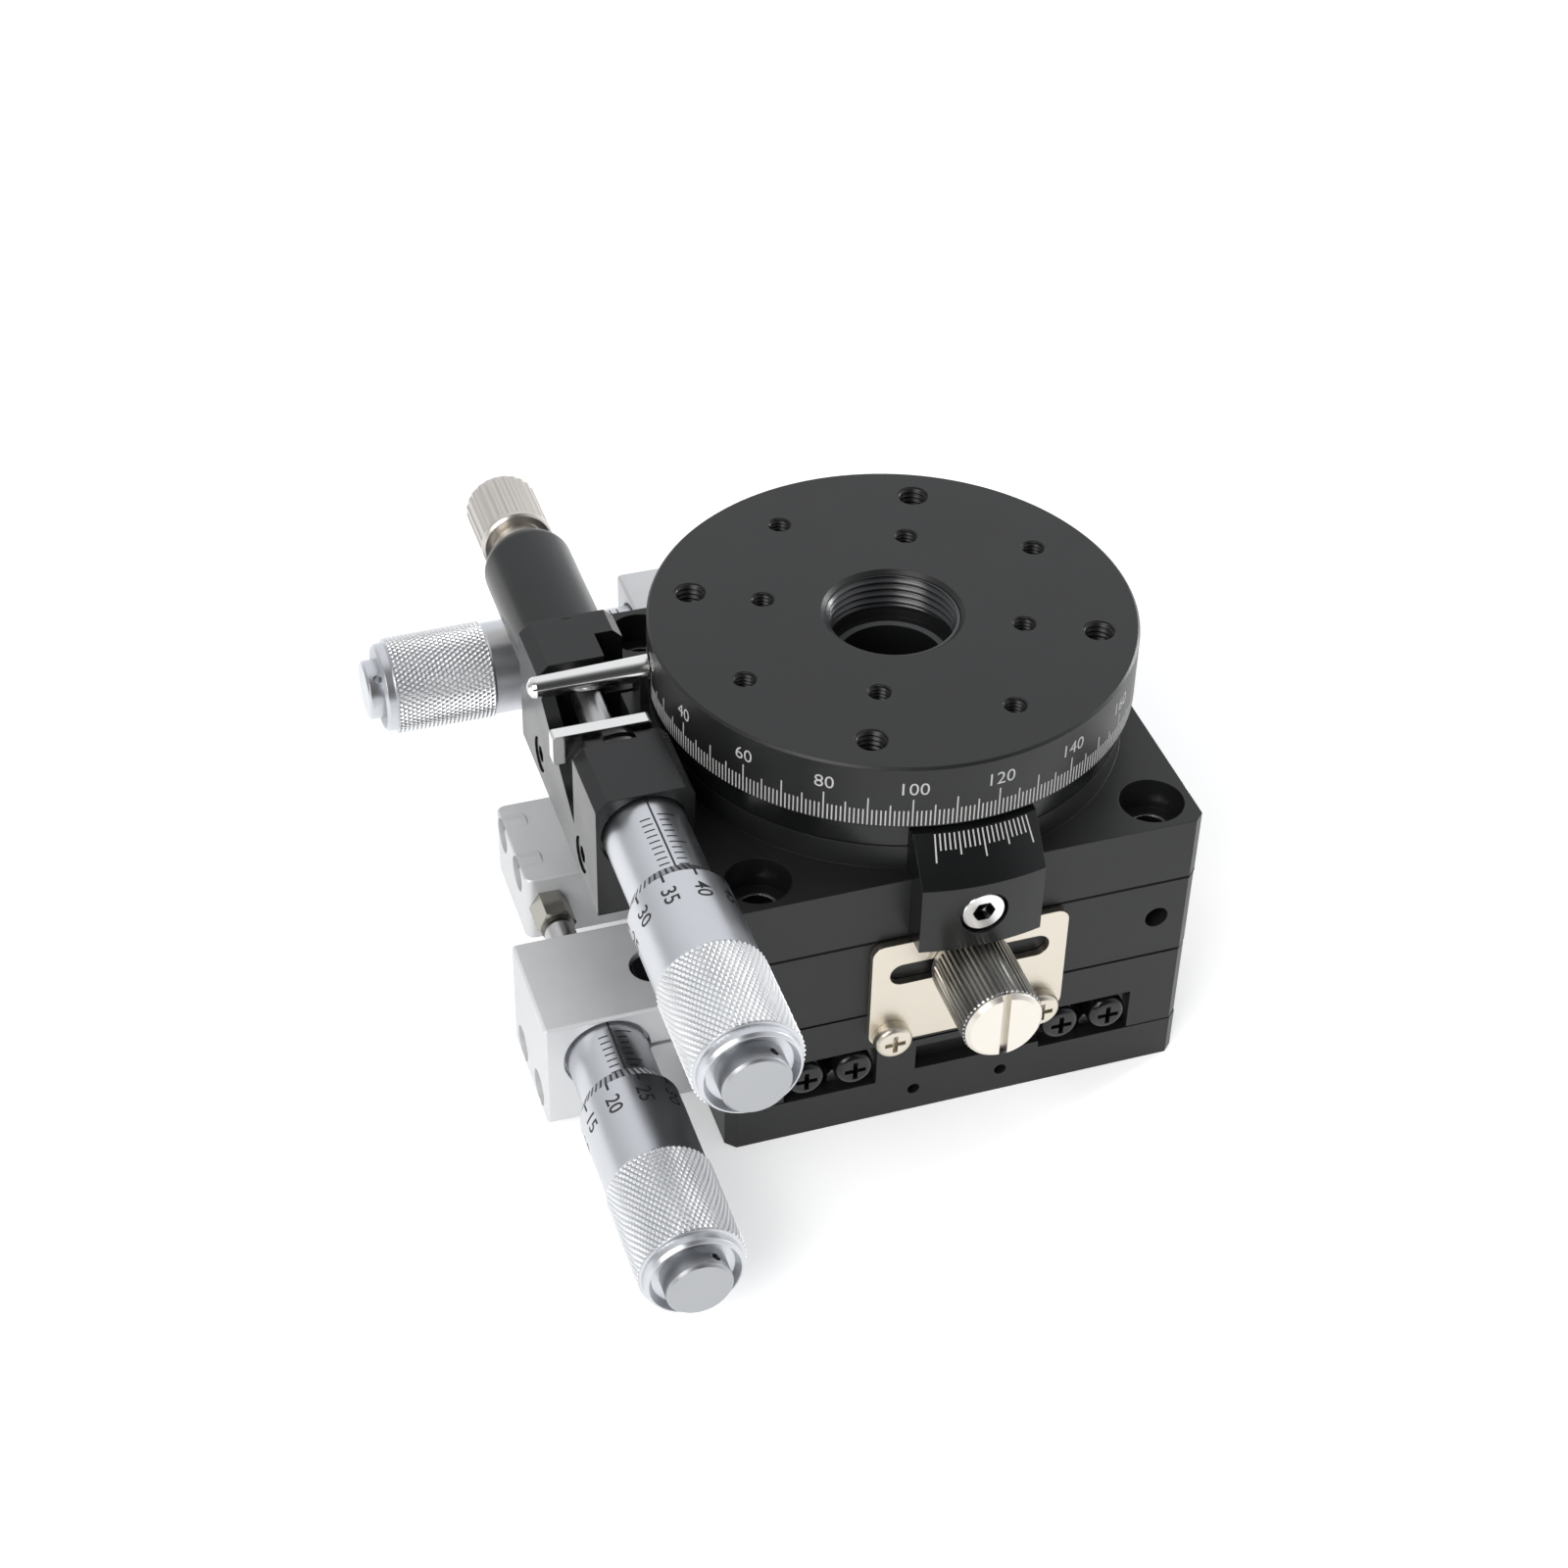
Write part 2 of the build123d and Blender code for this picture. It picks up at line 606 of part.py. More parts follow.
def rotation_bracket():
    """Bracket with the micrometer's block, the lever's pocket and the plunger's housing."""
    body = block(BLOCK_LEFT, -HALF, BLOCK_FRONT, BLOCK_BACK, BLOCK_BOTTOM, BLOCK_TOP)
    top_edges = body.edges().filter_by(Axis.Y).group_by(Axis.Z)[-1]
    body = chamfer(top_edges, 1.4)
    body -= block(-30.2, 0, -PLATE, PLATE, ROTATION_TOP + 0.05, PLATE)
    # the left wall slopes up from the pocket's floor to the rear block
    slope_start = POCKET_FRONT - 1.2
    slope = Polyline((slope_start, POCKET_FLOOR), (WALL_END, SHOULDER_Z), (WALL_END, PLATE),
                     (slope_start, PLATE), close=True)
    left = BLOCK_LEFT - 1
    body -= Pos(left, 0, 0) * extrude(Plane.YZ * make_face(slope), POCKET_WALL + 0.05 - left)
    body -= block(POCKET_WALL, 0, POCKET_FRONT, POCKET_BACK, POCKET_FLOOR, PLATE)
    body -= block(left, POCKET_WALL + 0.1, WALL_END, POCKET_BACK, SHOULDER_Z, PLATE)
    # room for the swinging arm
    body -= block(-33.8, 0, POCKET_BACK - 1, 14.5, ROT_Z, PLATE)
    # housing of the plunger
    housing = rod(HOUSING_R, BLOCK_BACK - 0.5, HOUSING_END)
    housing = fillet(housing.edges().group_by(Axis.Y)[-1], 2.4)
    body += at_drive(housing)
    body -= at_drive(rod(STEM_R + NEAR, BLOCK_FRONT - 1, POCKET_FRONT + 1))
    body -= at_drive(rod(SLEEVE_R + 0.4, BLOCK_FRONT - 1, BLOCK_FRONT + 1))
    body -= at_drive(rod(6.1, POCKET_FRONT - 1.1, POCKET_FRONT + 1))
    body -= at_drive(rod(PLUNGER_R + FIT, POCKET_BACK - 1, HOUSING_END - 2))
    body -= at_drive(rod(SPRING_CAVITY_R, SPRING_FRONT, HOUSING_END - 2.2))
    body -= at_drive(rod(2.0 + FIT, HOUSING_END - 3, HOUSING_END + 1))
    for y, z in ROT_SCREWS:
        body -= Pos(ROT_SCREW_SEAT, y, z) * LEFT * screw_hole(M25, M25_LENGTH)
    return body


def rotation_bracket_screws():
    return [Pos(ROT_SCREW_SEAT, y, z) * LEFT * cap_screw(M25, M25_LENGTH) for y, z in ROT_SCREWS]


def rotation_clamp_nut():
    """Thin nut that draws the sleeve into its block from the pocket's side."""
    low, high = POCKET_FRONT - 1.1 + NEAR, POCKET_FRONT + 0.15
    nut = turned_y((low, 3.2 + NEAR), (low, 5.3), (high, 5.3), (high, 3.2 + NEAR))
    return at_drive(nut)


def rotation_sleeve():
    """The graduated sleeve, with a neck on which the clamp nut sits."""
    body = sleeve(POCKET_FRONT - 1.1, BLOCK_FRONT + 0.9, ROT_ZERO)
    neck = turned_y((POCKET_FRONT - 1.2, SPINDLE_R + FIT), (POCKET_FRONT - 1.2, 3.2),
                    (POCKET_FRONT + 0.1, 3.2), (POCKET_FRONT + 0.1, SPINDLE_R + FIT))
    return at_drive(body + neck)


def plunger():
    """Sliding pin with a domed tip and the flange that its spring pushes."""
    tip = LEVER_BACK + LEVER_GAP
    return at_drive(turned_y((tip, 0), (tip, 0.6), (tip + 0.15, 1.2), (tip + 0.5, 1.65),
                             (tip + 1.0, PLUNGER_R), (SPRING_FRONT + 0.8, PLUNGER_R),
                             (SPRING_FRONT + 0.8, SPRING_CAVITY_R - 0.1),
                             (SPRING_FRONT + 0.8 + FLANGE_T, SPRING_CAVITY_R - 0.1),
                             (SPRING_FRONT + 0.8 + FLANGE_T, 0)))


def plunger_knob():
    """Fluted knob with a bright neck, on the stem that runs into the housing."""
    knob = turned_y((KNOB_FRONT, 0), (KNOB_FRONT, KNOB_R - 0.3), (KNOB_FRONT + 0.3, KNOB_R),
                    (KNOB_END - 0.8, KNOB_R), (KNOB_END, KNOB_R - 0.8), (KNOB_END, 0))
    flute = Pos(KNOB_R + 0.28, 0, 0) * rod(0.5, KNOB_FRONT + 0.9, KNOB_END + 1)
    for i in range(FLUTES):
        knob -= Rot(0, i * 360 / FLUTES, 0) * flute
    neck = turned_y((HOUSING_END + 0.1, 0), (HOUSING_END + 0.1, 3.4), (KNOB_FRONT - 0.3, 3.4),
                    (KNOB_FRONT, 3.1), (KNOB_FRONT + 0.3, 0))
    return at_drive(knob + neck + rod(2.0, HOUSING_END - 2, KNOB_FRONT))


def arm_pin(extra=0.0):
    """Slightly tapered cross pin with a domed outer end, held by the lever's post."""
    tip, root = -44.9, -28.0
    slim, stout = 1.35 + extra, 1.65 + extra
    outline = Polyline((tip, 0), (tip, 0.55), (tip + 0.45, slim - 0.15), (tip + 0.9, slim),
                       (root, stout), (root, 0), close=True)
    pin = revolve(make_face(outline), Axis.X)
    return Pos(0, 4.0, 50.1) * pin - post(DISC_R + 0.15, 0, 2 * PLATE)


def lever():
    """Swing ring under the table with the arm's root and its post."""
    body = post(BOSS_R, RING_BOTTOM, RING_TOP)
    body += block(-33.0, -27.0, LEVER_BACK, 5.4, 43.0, 45.7)
    body += block(-31.4, -30.25, 2.3, 5.7, 43.0, 50.0)
    body -= post(INNER_RACE_R + 1.0, 0, PLATE)
    return body - arm_pin(NEAR)


def contact_plate():
    """Nickel plate on the arm that stands between the spindle and the plunger."""
    body = block(-44.15, -32.0, LEVER_FACE, LEVER_BACK, 45.0, 49.15)
    body = chamfer(body.edges().filter_by(Axis.Y), 0.3)
    body += block(-39.0, -33.6, LEVER_FACE, LEVER_BACK, 40.5, 45.5)
    return body + block(-33.5, -32.2, LEVER_FACE, LEVER_BACK, 43.2, 45.5)


ROT_EDGE = ROT_ZERO - ROT_READING

nodes = {
    "base_plate": base_plate(),
    "middle_plate": middle_plate(),
    "upper_plate": upper_plate(),
    "y_inner_rail_end_screws": group(rail_end_screws(True)),
    "middle_rail_end_screws": group(rail_end_screws(False) + raised_all(rail_end_screws(True))),
    "x_outer_rail_end_screws": group(raised_all(rail_end_screws(False))),
    "y_bracket_screws": group(side_screws(BRACKET_SCREWS)),
    "middle_side_screws": group(side_screws(ANVIL_SCREWS)
                                + raised_all(side_screws(BRACKET_SCREWS))),
    "upper_side_screws": group(raised_all(side_screws(ANVIL_SCREWS)) + rotation_bracket_screws()),
    "rotary_cap_screws": rotary_cap_screws(),
    "rotation_base": rotation_base(),
    "bearing_outer_ring": bearing_outer_ring(),
    "bearing_inner_ring": bearing_inner_ring(),
    "bearing_rollers": bearing_rollers(),
    "rotary_table": table(),
    "vernier_block": vernier_block(),
    "rotation_bracket": rotation_bracket(),
    "r_clamp_nut": rotation_clamp_nut(),
    "r_sleeve": rotation_sleeve(),
    "r_spindle": at_drive(spindle(LEVER_FACE - LEVER_GAP, ROT_EDGE)),
    "r_thimble": at_drive(thimble(ROT_EDGE)),
    "r_thimble_cap": at_drive(thimble_cap(ROT_EDGE)),
    "swing_lever": lever(),
    "contact_plate": contact_plate(),
    "arm_pin": arm_pin(),
    "plunger": plunger(),
    "plunger_knob": plunger_knob(),
}
for name, shape in linear_stage(READING_Y).items():
    nodes["y_" + name] = shape
for name, shape in linear_stage(READING_X).items():
    nodes["x_" + name] = raised(shape)

for name, shape in nodes.items():
    export_step(shape, f"parts/{name}.step")
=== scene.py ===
"""Finishes, graduations, knurls and threads of the XY and rotation micrometer stage.

Shapes are worked out in millimetres as functions of two parameters and scaled once by MM.
"""
import math

import bmesh
import bpy
import numpy as np
from mathutils import Matrix, Vector


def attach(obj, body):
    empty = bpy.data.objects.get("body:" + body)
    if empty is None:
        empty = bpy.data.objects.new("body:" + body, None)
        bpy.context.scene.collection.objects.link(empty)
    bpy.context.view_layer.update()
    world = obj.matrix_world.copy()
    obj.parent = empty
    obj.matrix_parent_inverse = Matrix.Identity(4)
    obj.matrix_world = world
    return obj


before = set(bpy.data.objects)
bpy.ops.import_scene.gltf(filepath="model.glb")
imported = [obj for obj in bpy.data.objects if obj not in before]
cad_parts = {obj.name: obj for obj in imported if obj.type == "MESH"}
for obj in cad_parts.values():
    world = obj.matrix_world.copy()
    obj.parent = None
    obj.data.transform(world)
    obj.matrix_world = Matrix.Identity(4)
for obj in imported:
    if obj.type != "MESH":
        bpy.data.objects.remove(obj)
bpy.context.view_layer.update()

MM = 0.001

# View: place of the camera in millimetres, its direction in degrees and its lens
CAMERA_AT = (-107.97, -273.56, 273.56)
AZIMUTH = 19.06
ELEVATION = 39.98
ROLL = 1.4935
LENS = 69.066

# Light: level and colour of the world on surfaces, then the tent that metal mirrors
WORLD_LEVEL = 0.62
WORLD_TINT = (0.97, 0.985, 1.0, 1)
TENT_TINT = (0.97, 0.98, 1.0, 1)
BRIGHT_SIDE = (0.62, 0.62, 0.48)      # direction in which the tent is brightest
BRIGHT_SPAN = (-0.75, 0.85)           # from its dark side to its bright one, as cosines
TENT_LOW = 0.26                       # level on the dark side
OPEN_SIDE = (-0.25, -0.72, 0.64)      # direction of the opening
OPEN_SPAN = (0.45, 0.92)              # from the opening's rim to its middle, as cosines
TENT_OPENING = 0.1                    # level in the opening
WHITE = (1, 1, 1, 1)

# Floor: half side, height just under the stage, colour, and glow that whitens it to the camera
FLOOR_HALF = 6000.0
FLOOR_Z = -0.02
FLOOR_COLOUR = (0.9, 0.9, 0.9, 1)
FLOOR_GLOW = 0.36

# Rotary table and its scale
DISC_R = 30.0
DISC_TOP = 55.0
SCALE_BOTTOM = 46.45
SCALE_TOPS = (48.7, 49.5, 50.4)       # tops of the 1, 5 and 10 degree ticks
NUMBER_Z = 51.85
NUMBER_H = 1.75
ZERO_ANGLE = 155.2                    # where the scale's zero stands at rest
TICK_W = 0.17

# Vernier on the bevel of the front block, whose edges are at a radius and a height
BEVEL_TOP = (30.4, 45.5)
BEVEL_FOOT = (34.5, 40.0)
VERNIER_FROM = -99.8
VERNIER_TO = -78.2
VERNIER_LINES = 21
VERNIER_START = 0.12
VERNIER_LENGTHS = (2.1, 2.8, 3.5)     # lengths of the plain, fifth and tenth lines

# Threaded bore of the table: wall, crest, pitch, lowest and highest turn
BORE = (8.3, 7.78, 1.0, 49.4, 54.5)
BORE_MOUTH = 0.02                     # height of the cone over the highest turn
BORE_LEDGE = (6.5, 48.0)              # radius of the opening in the ledge, and its height
# Offsets of the band of painted highlight on that ledge
LEDGE_BAND = (0.05, 0.9)

# Tapped holes of the table: diameter of the circle, wall, first angle, crest, pitch
HOLES = (
    (50.0, 2.0, 64.6, 1.62, 0.7),
    (45.25, 1.5, 19.6, 1.22, 0.5),
    (32.0, 1.5, 64.6, 1.22, 0.5),
)
HOLE_DEPTH = 7.0
HOLE_THREAD_TOP = 0.35                # how far the highest turn is under the table's top
HOLE_MOUTH = 0.01

# Threads: steps round a wide and a narrow hole, steps to a turn, turns of fading in,
# how round the wave is, and how far its back and its root stand off the wall
WIDE_HOLE = 4
WIDE_STEPS = 144
NARROW_STEPS = 32
TURN_STEPS = 12
FADE_TURNS = 0.6
WAVE_POWER = 0.8
LINING_BACK = 0.004
LINING_ROOT = 0.01

# Micrometer heads
SLEEVE_R = 5.1
EDGE_R = 5.3
THIMBLE_R = 6.25
BEVEL = 2.0
KNURL_FROM = 14.5
KNURL_TO = 27.55
KNURL_BASE = 6.3
KNURL_CREST = 6.56
KNURL_STARTS = 58
KNURL_ANGLE = 31.0
KNURL_STEEPNESS = 1.35                # rise of the waves before the crest is cut flat
KNURL_STEPS = (6, 8)                  # steps to a pyramid, round the thimble and along it
BAND_WALL = 0.1                       # how far a knurl's inner wall is sunk
TRAVEL = 13
DIVISIONS = 50
INDEX_AT = 0.8                        # index line, in degrees from the top of the sleeve
INDEX_HALF = 0.12
SLEEVE_TICK_HALF = 0.1
UPPER_TICKS = (6.0, 20.0, 30.0)       # degrees: start, end, end of every fifth
LOWER_TICKS = (19.5, 5.0)             # degrees: end and start
MARK_HALF = 0.135
MARK_START = 0.04
MARK_LENGTHS = (1.95, 3.0)            # lengths of the plain and the fifth mark
THIMBLE_NUMBER_H = 1.9
THIMBLE_NUMBER_AT = 4.1

# Thumb screws
LOCK_FROM = 31.75
LOCK_TO = 42.35
LOCK_Z = 12.8
LOCK_BASE = 4.83
LOCK_CREST = 5.05
LOCK_TEETH = 48
LOCK_TAPER = 0.25
LOCK_STEEPNESS = 1.4

# Plates: half side, corner cut, joint under the rotation base, and its corner holes' ledges,
# where rings of painted highlight lie
PLATE_HALF = 30.0
PLATE_CUT = 1.2
SEAM_Z = 30.0
RIM_AT = 25.0
RIM_HOLE_R = 2.25
RIM_Z = 34.7
RIM_BAND = (0.06, 0.42)
SEAM_DEPTH = 0.15
SEAM_SPAN = (0.16, 0.2)               # how far the shadow reaches below and above the joint
BAND_SUNK = 0.1

# Walls over the anvil brackets' counterbores
BRIDGE_X = (-45.42, -42.35)
BRIDGE_MIDDLES = (11.6, 19.4)
BRIDGE_AXIS = 14.2
BRIDGE_R = 2.2                        # radius of the underside
BRIDGE_COVER = 2.28                   # radius of the top over the screw's head
BRIDGE_HALF = 1.25
BRIDGE_TOP = 16.303

# Height of a printed mark above its surface, and how far its back is sunk
PRINT_UP = 0.012
PRINT_DOWN = 0.03

# Height of the upper linear stage over the lower one
LEVEL = 12.0


def as_drawn(points):
    """The lower stage and the rotation head stay where they are drawn."""
    return points


def raised(points):
    """(x, y, z) of the lower stage goes to (y, -x, z + one level)."""
    return np.stack([points[..., 1], -points[..., 0], points[..., 2] + LEVEL], axis=-1)


# Axes of the linear heads and of the rotation head: x and height
LINEAR_AXIS = (-42.6, 11.8)
ROTATION_AXIS = (-36.3, 42.6)

# Points on the axes of the heads, thumb screws, table and vernier block's screw, and the
# directions in which a distance from an axis along x, y or z is measured
Y_HEAD_LINE = (LINEAR_AXIS[0], 0, LINEAR_AXIS[1])
X_HEAD_LINE = (0, -LINEAR_AXIS[0], LINEAR_AXIS[1] + LEVEL)
R_HEAD_LINE = (ROTATION_AXIS[0], 0, ROTATION_AXIS[1])
Y_LOCK_LINE = (0, 0, LOCK_Z)
X_LOCK_LINE = (0, 0, LOCK_Z + LEVEL)
TABLE_LINE = (0, 0, 0)
CAP_SCREW_LINE = (0, 0, 35.5)
ROUND_X = (0, 1, 1)
ROUND_Y = (1, 0, 1)
ROUND_Z = (1, 1, 0)

# A head: how it is placed, its axis, the stations of its zero, its thimble's edge and the
# front of its sleeve, the bodies of sleeve and thimble, and the division at the index line
HEADS = {
    "y": dict(place=as_drawn, axis=LINEAR_AXIS, zero=-22.465, edge=-29.2, front=-21.1,
              fixed="base", turning="y_drum", shows=24.0),
    "x": dict(place=raised, axis=LINEAR_AXIS, zero=-22.465, edge=-27.365, front=-21.1,
              fixed="y_carriage", turning="x_drum", shows=40.0),
    "r": dict(place=as_drawn, axis=ROTATION_AXIS, zero=-19.85, edge=-29.23, front=-17.0,
              fixed="x_carriage", turning="r_drum", shows=38.0),
}


# ---------------------------------------------------------------- meshes

def grid_quads(rows, columns, wrap_rows, wrap_columns):
    """Quads between neighbouring points of a grid, joined round where it wraps."""
    i = np.arange(rows if wrap_rows else rows - 1)[:, None]
    j = np.arange(columns if wrap_columns else columns - 1)[None, :]
    down, along = (i + 1) % rows, (j + 1) % columns
    quads = np.stack([i * columns + j, i * columns + along,
                      down * columns + along, down * columns + j], axis=-1)
    return quads.reshape(-1, 4)


def make_piece(name, points, faces, material, body, smooth=False, mend=False):
    """Mesh object from millimetre points, riding on a body. mend turns its faces outwards."""
    mesh = bpy.data.meshes.new(name)
    mesh.from_pydata((np.asarray(points).reshape(-1, 3) * MM).tolist(), [], faces.tolist())
    if mend:
        work = bmesh.new()
        work.from_mesh(mesh)
        bmesh.ops.recalc_face_normals(work, faces=work.faces)
        work.to_mesh(mesh)
        work.free()
    mesh.materials.append(material)
    if smooth:
        mesh.shade_smooth()
    piece = bpy.data.objects.new(name, mesh)
    bpy.context.scene.collection.objects.link(piece)
    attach(piece, body)
    return piece


def joined(parts):
    """Several (points, faces) sets as one."""
    points, faces, start = [], [], 0
    for some_points, some_faces in parts:
        points.append(some_points.reshape(-1, 3))
        faces.append(some_faces + start)
        start += len(points[-1])
    return np.concatenate(points), np.concatenate(faces)


def bars(u0, u1, v0, v1, cells=1):
    """Thin closed slabs, one for each entry of the arrays, in (u, v, height) coordinates.

    Each slab is a square section carried from u0 to u1 in a number of cells, with its back
    PRINT_DOWN under the surface and its face PRINT_UP over it, and a cap at both ends.
    """
    u0, u1, v0, v1 = (a.ravel() for a in np.broadcast_arrays(*map(np.asarray, (u0, u1, v0, v1))))
    count, share = len(u0), np.linspace(0, 1, cells + 1)
    u = u0[:, None] + (u1 - u0)[:, None] * share
    u = np.repeat(u[:, :, None], 4, axis=2)
    v = np.stack([v0, v1, v1, v0], axis=1)[:, None, :] + np.zeros_like(u)
    height = np.array([-PRINT_DOWN, -PRINT_DOWN, PRINT_UP, PRINT_UP]) + np.zeros_like(u)
    points = np.stack([u, v, height], axis=-1)
    ring = grid_quads(cells + 1, 4, False, True)
    last = 4 * cells
    one = np.concatenate([ring, [[0, 1, 2, 3], [last + 3, last + 2, last + 1, last]]])
    faces = one[None] + (np.arange(count) * 4 * (cells + 1))[:, None, None]
    return points.reshape(-1, 3), faces.reshape(-1, 4)


def lettering(text, height, slice_along, step, weight):
    """A number as a thin closed mesh round the origin: points (across, up, height) and triangles.

    The outline is filled and given its thickness, scaled to the height asked for, and cut
    every few tenths of a millimetre along one direction so that it can follow a curve.
    weight makes its strokes heavier or lighter, as a share of the letter size.
    """
    curve = bpy.data.curves.new("number", "FONT")
    curve.body = text
    curve.align_x = "CENTER"
    curve.align_y = "CENTER"
    curve.extrude = 0.5
    curve.offset = weight
    curve.resolution_u = 3
    holder = bpy.data.objects.new("number", curve)
    mesh = bpy.data.meshes.new_from_object(holder)
    work = bmesh.new()
    work.from_mesh(mesh)
    bmesh.ops.remove_doubles(work, verts=work.verts, dist=1e-5)
    bmesh.ops.triangulate(work, faces=work.faces)
    ends = [vertex.co.y for vertex in work.verts]
    grow = height / (max(ends) - min(ends))
    bmesh.ops.scale(work, vec=(grow, grow, PRINT_UP + PRINT_DOWN), verts=work.verts)
    reach = max(abs(vertex.co[slice_along]) for vertex in work.verts)
    normal = [0.0, 0.0, 0.0]
    normal[slice_along] = 1.0
    for cut in np.arange(-reach + step, reach, step):
        at = [0.0, 0.0, 0.0]
        at[slice_along] = cut
        bmesh.ops.bisect_plane(work, geom=work.verts[:] + work.edges[:] + work.faces[:],
                               plane_co=at, plane_no=normal)
    bmesh.ops.triangulate(work, faces=work.faces)
    bmesh.ops.recalc_face_normals(work, faces=work.faces)
    work.verts.index_update()
    points = np.array([vertex.co for vertex in work.verts])
    faces = np.array([[vertex.index for vertex in face.verts] for face in work.faces])
    points[:, 2] += (PRINT_UP - PRINT_DOWN) / 2
    work.free()
    bpy.data.objects.remove(holder)
    bpy.data.curves.remove(curve)
    bpy.data.meshes.remove(mesh)
    return points, faces


# Surfaces that carry marks: each takes (u, v, height) to a place

def on_disc(points):
    """u is the angle round the table in radians, v the height above the bench."""
    radius = DISC_R + points[..., 2]
    return np.stack([radius * np.cos(points[..., 0]), radius * np.sin(points[..., 0]),
                     points[..., 1]], axis=-1)


def on_vernier(points):
    """u is the angle round the table, v the way down the bevel from its upper edge."""
    run, fall = BEVEL_FOOT[0] - BEVEL_TOP[0], BEVEL_TOP[1] - BEVEL_FOOT[1]
    slope = math.hypot(run, fall)
    radius = BEVEL_TOP[0] + points[..., 1] * run / slope + points[..., 2] * fall / slope
    z = BEVEL_TOP[1] - points[..., 1] * fall / slope + points[..., 2] * run / slope
    return np.stack([radius * np.cos(points[..., 0]), radius * np.sin(points[..., 0]), z], axis=-1)


def round_axis(head, angle, station, radius):
    """Point at an angle from the top of a head, at a station along it and a radius."""
    x, z = head["axis"]
    placed = np.stack([x + radius * np.sin(angle), station + np.zeros_like(angle),
                       z + radius * np.cos(angle)], axis=-1)
    return head["place"](placed)


def on_sleeve(head):
    """u is the angle from the top of the head, v the station along it."""
    def placed(points):
        return round_axis(head, points[..., 0], points[..., 1], SLEEVE_R + points[..., 2])
    return placed


def on_thimble(head):
    """u is the angle, v the distance behind the thimble's edge: a cone, then a cylinder."""
    def placed(points):
        cone = EDGE_R + (THIMBLE_R - EDGE_R) * np.clip(points[..., 1] / BEVEL, 0, 1)
        return round_axis(head, points[..., 0], head["edge"] - points[..., 1],
                          cone + points[..., 2])
    return placed


# ---------------------------------------------------------------- materials

def new_group(name, inputs, outputs):
    """Empty shader group with named float or vector sockets."""
    group = bpy.data.node_groups.new(name, "ShaderNodeTree")
    for label, kind in inputs:
        group.interface.new_socket(label, in_out="INPUT", socket_type=kind)
    for label, kind in outputs:
        group.interface.new_socket(label, in_out="OUTPUT", socket_type=kind)
    entry = group.nodes.new("NodeGroupInput")
    leave = group.nodes.new("NodeGroupOutput")
    return group, entry, leave


def noise(tree, vector, scale, detail=2.0, roughness=0.5):
    """Noise whose scale is a number or comes from a socket."""
    node = tree.nodes.new("ShaderNodeTexNoise")
    node.inputs["Detail"].default_value = detail
    node.inputs["Roughness"].default_value = roughness
    tree.links.new(vector, node.inputs["Vector"])
    if isinstance(scale, (int, float)):
        node.inputs["Scale"].default_value = scale
    else:
        tree.links.new(scale, node.inputs["Scale"])
    return node.outputs["Fac"]


def remap(tree, value, low, high, start=0.3, stop=0.7):
    """A varying value taken from start..stop to low..high, held at both ends."""
    node = tree.nodes.new("ShaderNodeMapRange")
    tree.links.new(value, node.inputs["Value"])
    node.inputs["From Min"].default_value = start
    node.inputs["From Max"].default_value = stop
    node.inputs["To Min"].default_value = low
    node.inputs["To Max"].default_value = high
    return node.outputs["Result"]


def grain_group():
    """Blasted or etched surface: fine pits as a height, and broad patches as a mask."""
    group, entry, leave = new_group(
        "surface_grain",
        [("Vector", "NodeSocketVector"), ("Size", "NodeSocketFloat")],
        [("Height", "NodeSocketFloat"), ("Patches", "NodeSocketFloat")])
    fine = noise(group, entry.outputs["Vector"], entry.outputs["Size"], detail=3.0, roughness=0.6)
    broad = noise(group, entry.outputs["Vector"], 90.0, detail=3.0, roughness=0.55)
    group.links.new(fine, leave.inputs["Height"])
    group.links.new(broad, leave.inputs["Patches"])
    return group


def turning_group():
    """Lathe marks: a value that changes only with one coordinate, with slight unevenness."""
    group, entry, leave = new_group(
        "turning_marks",
        [("Along", "NodeSocketFloat"), ("Vector", "NodeSocketVector"),
         ("Size", "NodeSocketFloat")],
        [("Height", "NodeSocketFloat"), ("Patches", "NodeSocketFloat")])
    lines = group.nodes.new("ShaderNodeTexNoise")
    lines.noise_dimensions = "1D"
    lines.inputs["Detail"].default_value = 4.0
    lines.inputs["Roughness"].default_value = 0.7
    group.links.new(entry.outputs["Along"], lines.inputs["W"])
    group.links.new(entry.outputs["Size"], lines.inputs["Scale"])
    broad = noise(group, entry.outputs["Vector"], 120.0)
    group.links.new(lines.outputs["Fac"], leave.inputs["Height"])
    group.links.new(broad, leave.inputs["Patches"])
    return group


def hollow_group():
    """Mask that is 0 up to a near distance from a line or plane and 1 from a far one.

    Across picks the directions in which the distance is measured.
    """
    group, entry, leave = new_group(
        "distance_mask",
        [("Vector", "NodeSocketVector"), ("Centre", "NodeSocketVector"),
         ("Across", "NodeSocketVector"), ("Near", "NodeSocketFloat"), ("Far", "NodeSocketFloat")],
        [("Mask", "NodeSocketFloat")])
    value = entry.outputs["Vector"]
    for operation, other in (("SUBTRACT", "Centre"), ("MULTIPLY", "Across"), ("LENGTH", None)):
        step = group.nodes.new("ShaderNodeVectorMath")
        step.operation = operation
        group.links.new(value, step.inputs[0])
        if other:
            group.links.new(entry.outputs[other], step.inputs[1])
        value = step.outputs["Value" if operation == "LENGTH" else "Vector"]
    mask = group.nodes.new("ShaderNodeMapRange")
    group.links.new(value, mask.inputs["Value"])
    group.links.new(entry.outputs["Near"], mask.inputs["From Min"])
    group.links.new(entry.outputs["Far"], mask.inputs["From Max"])
    group.links.new(mask.outputs["Result"], leave.inputs["Mask"])
    return group


GRAIN_DEPTH = 0.00002
GRAIN = grain_group()
TURNING = turning_group()
HOLLOW = hollow_group()


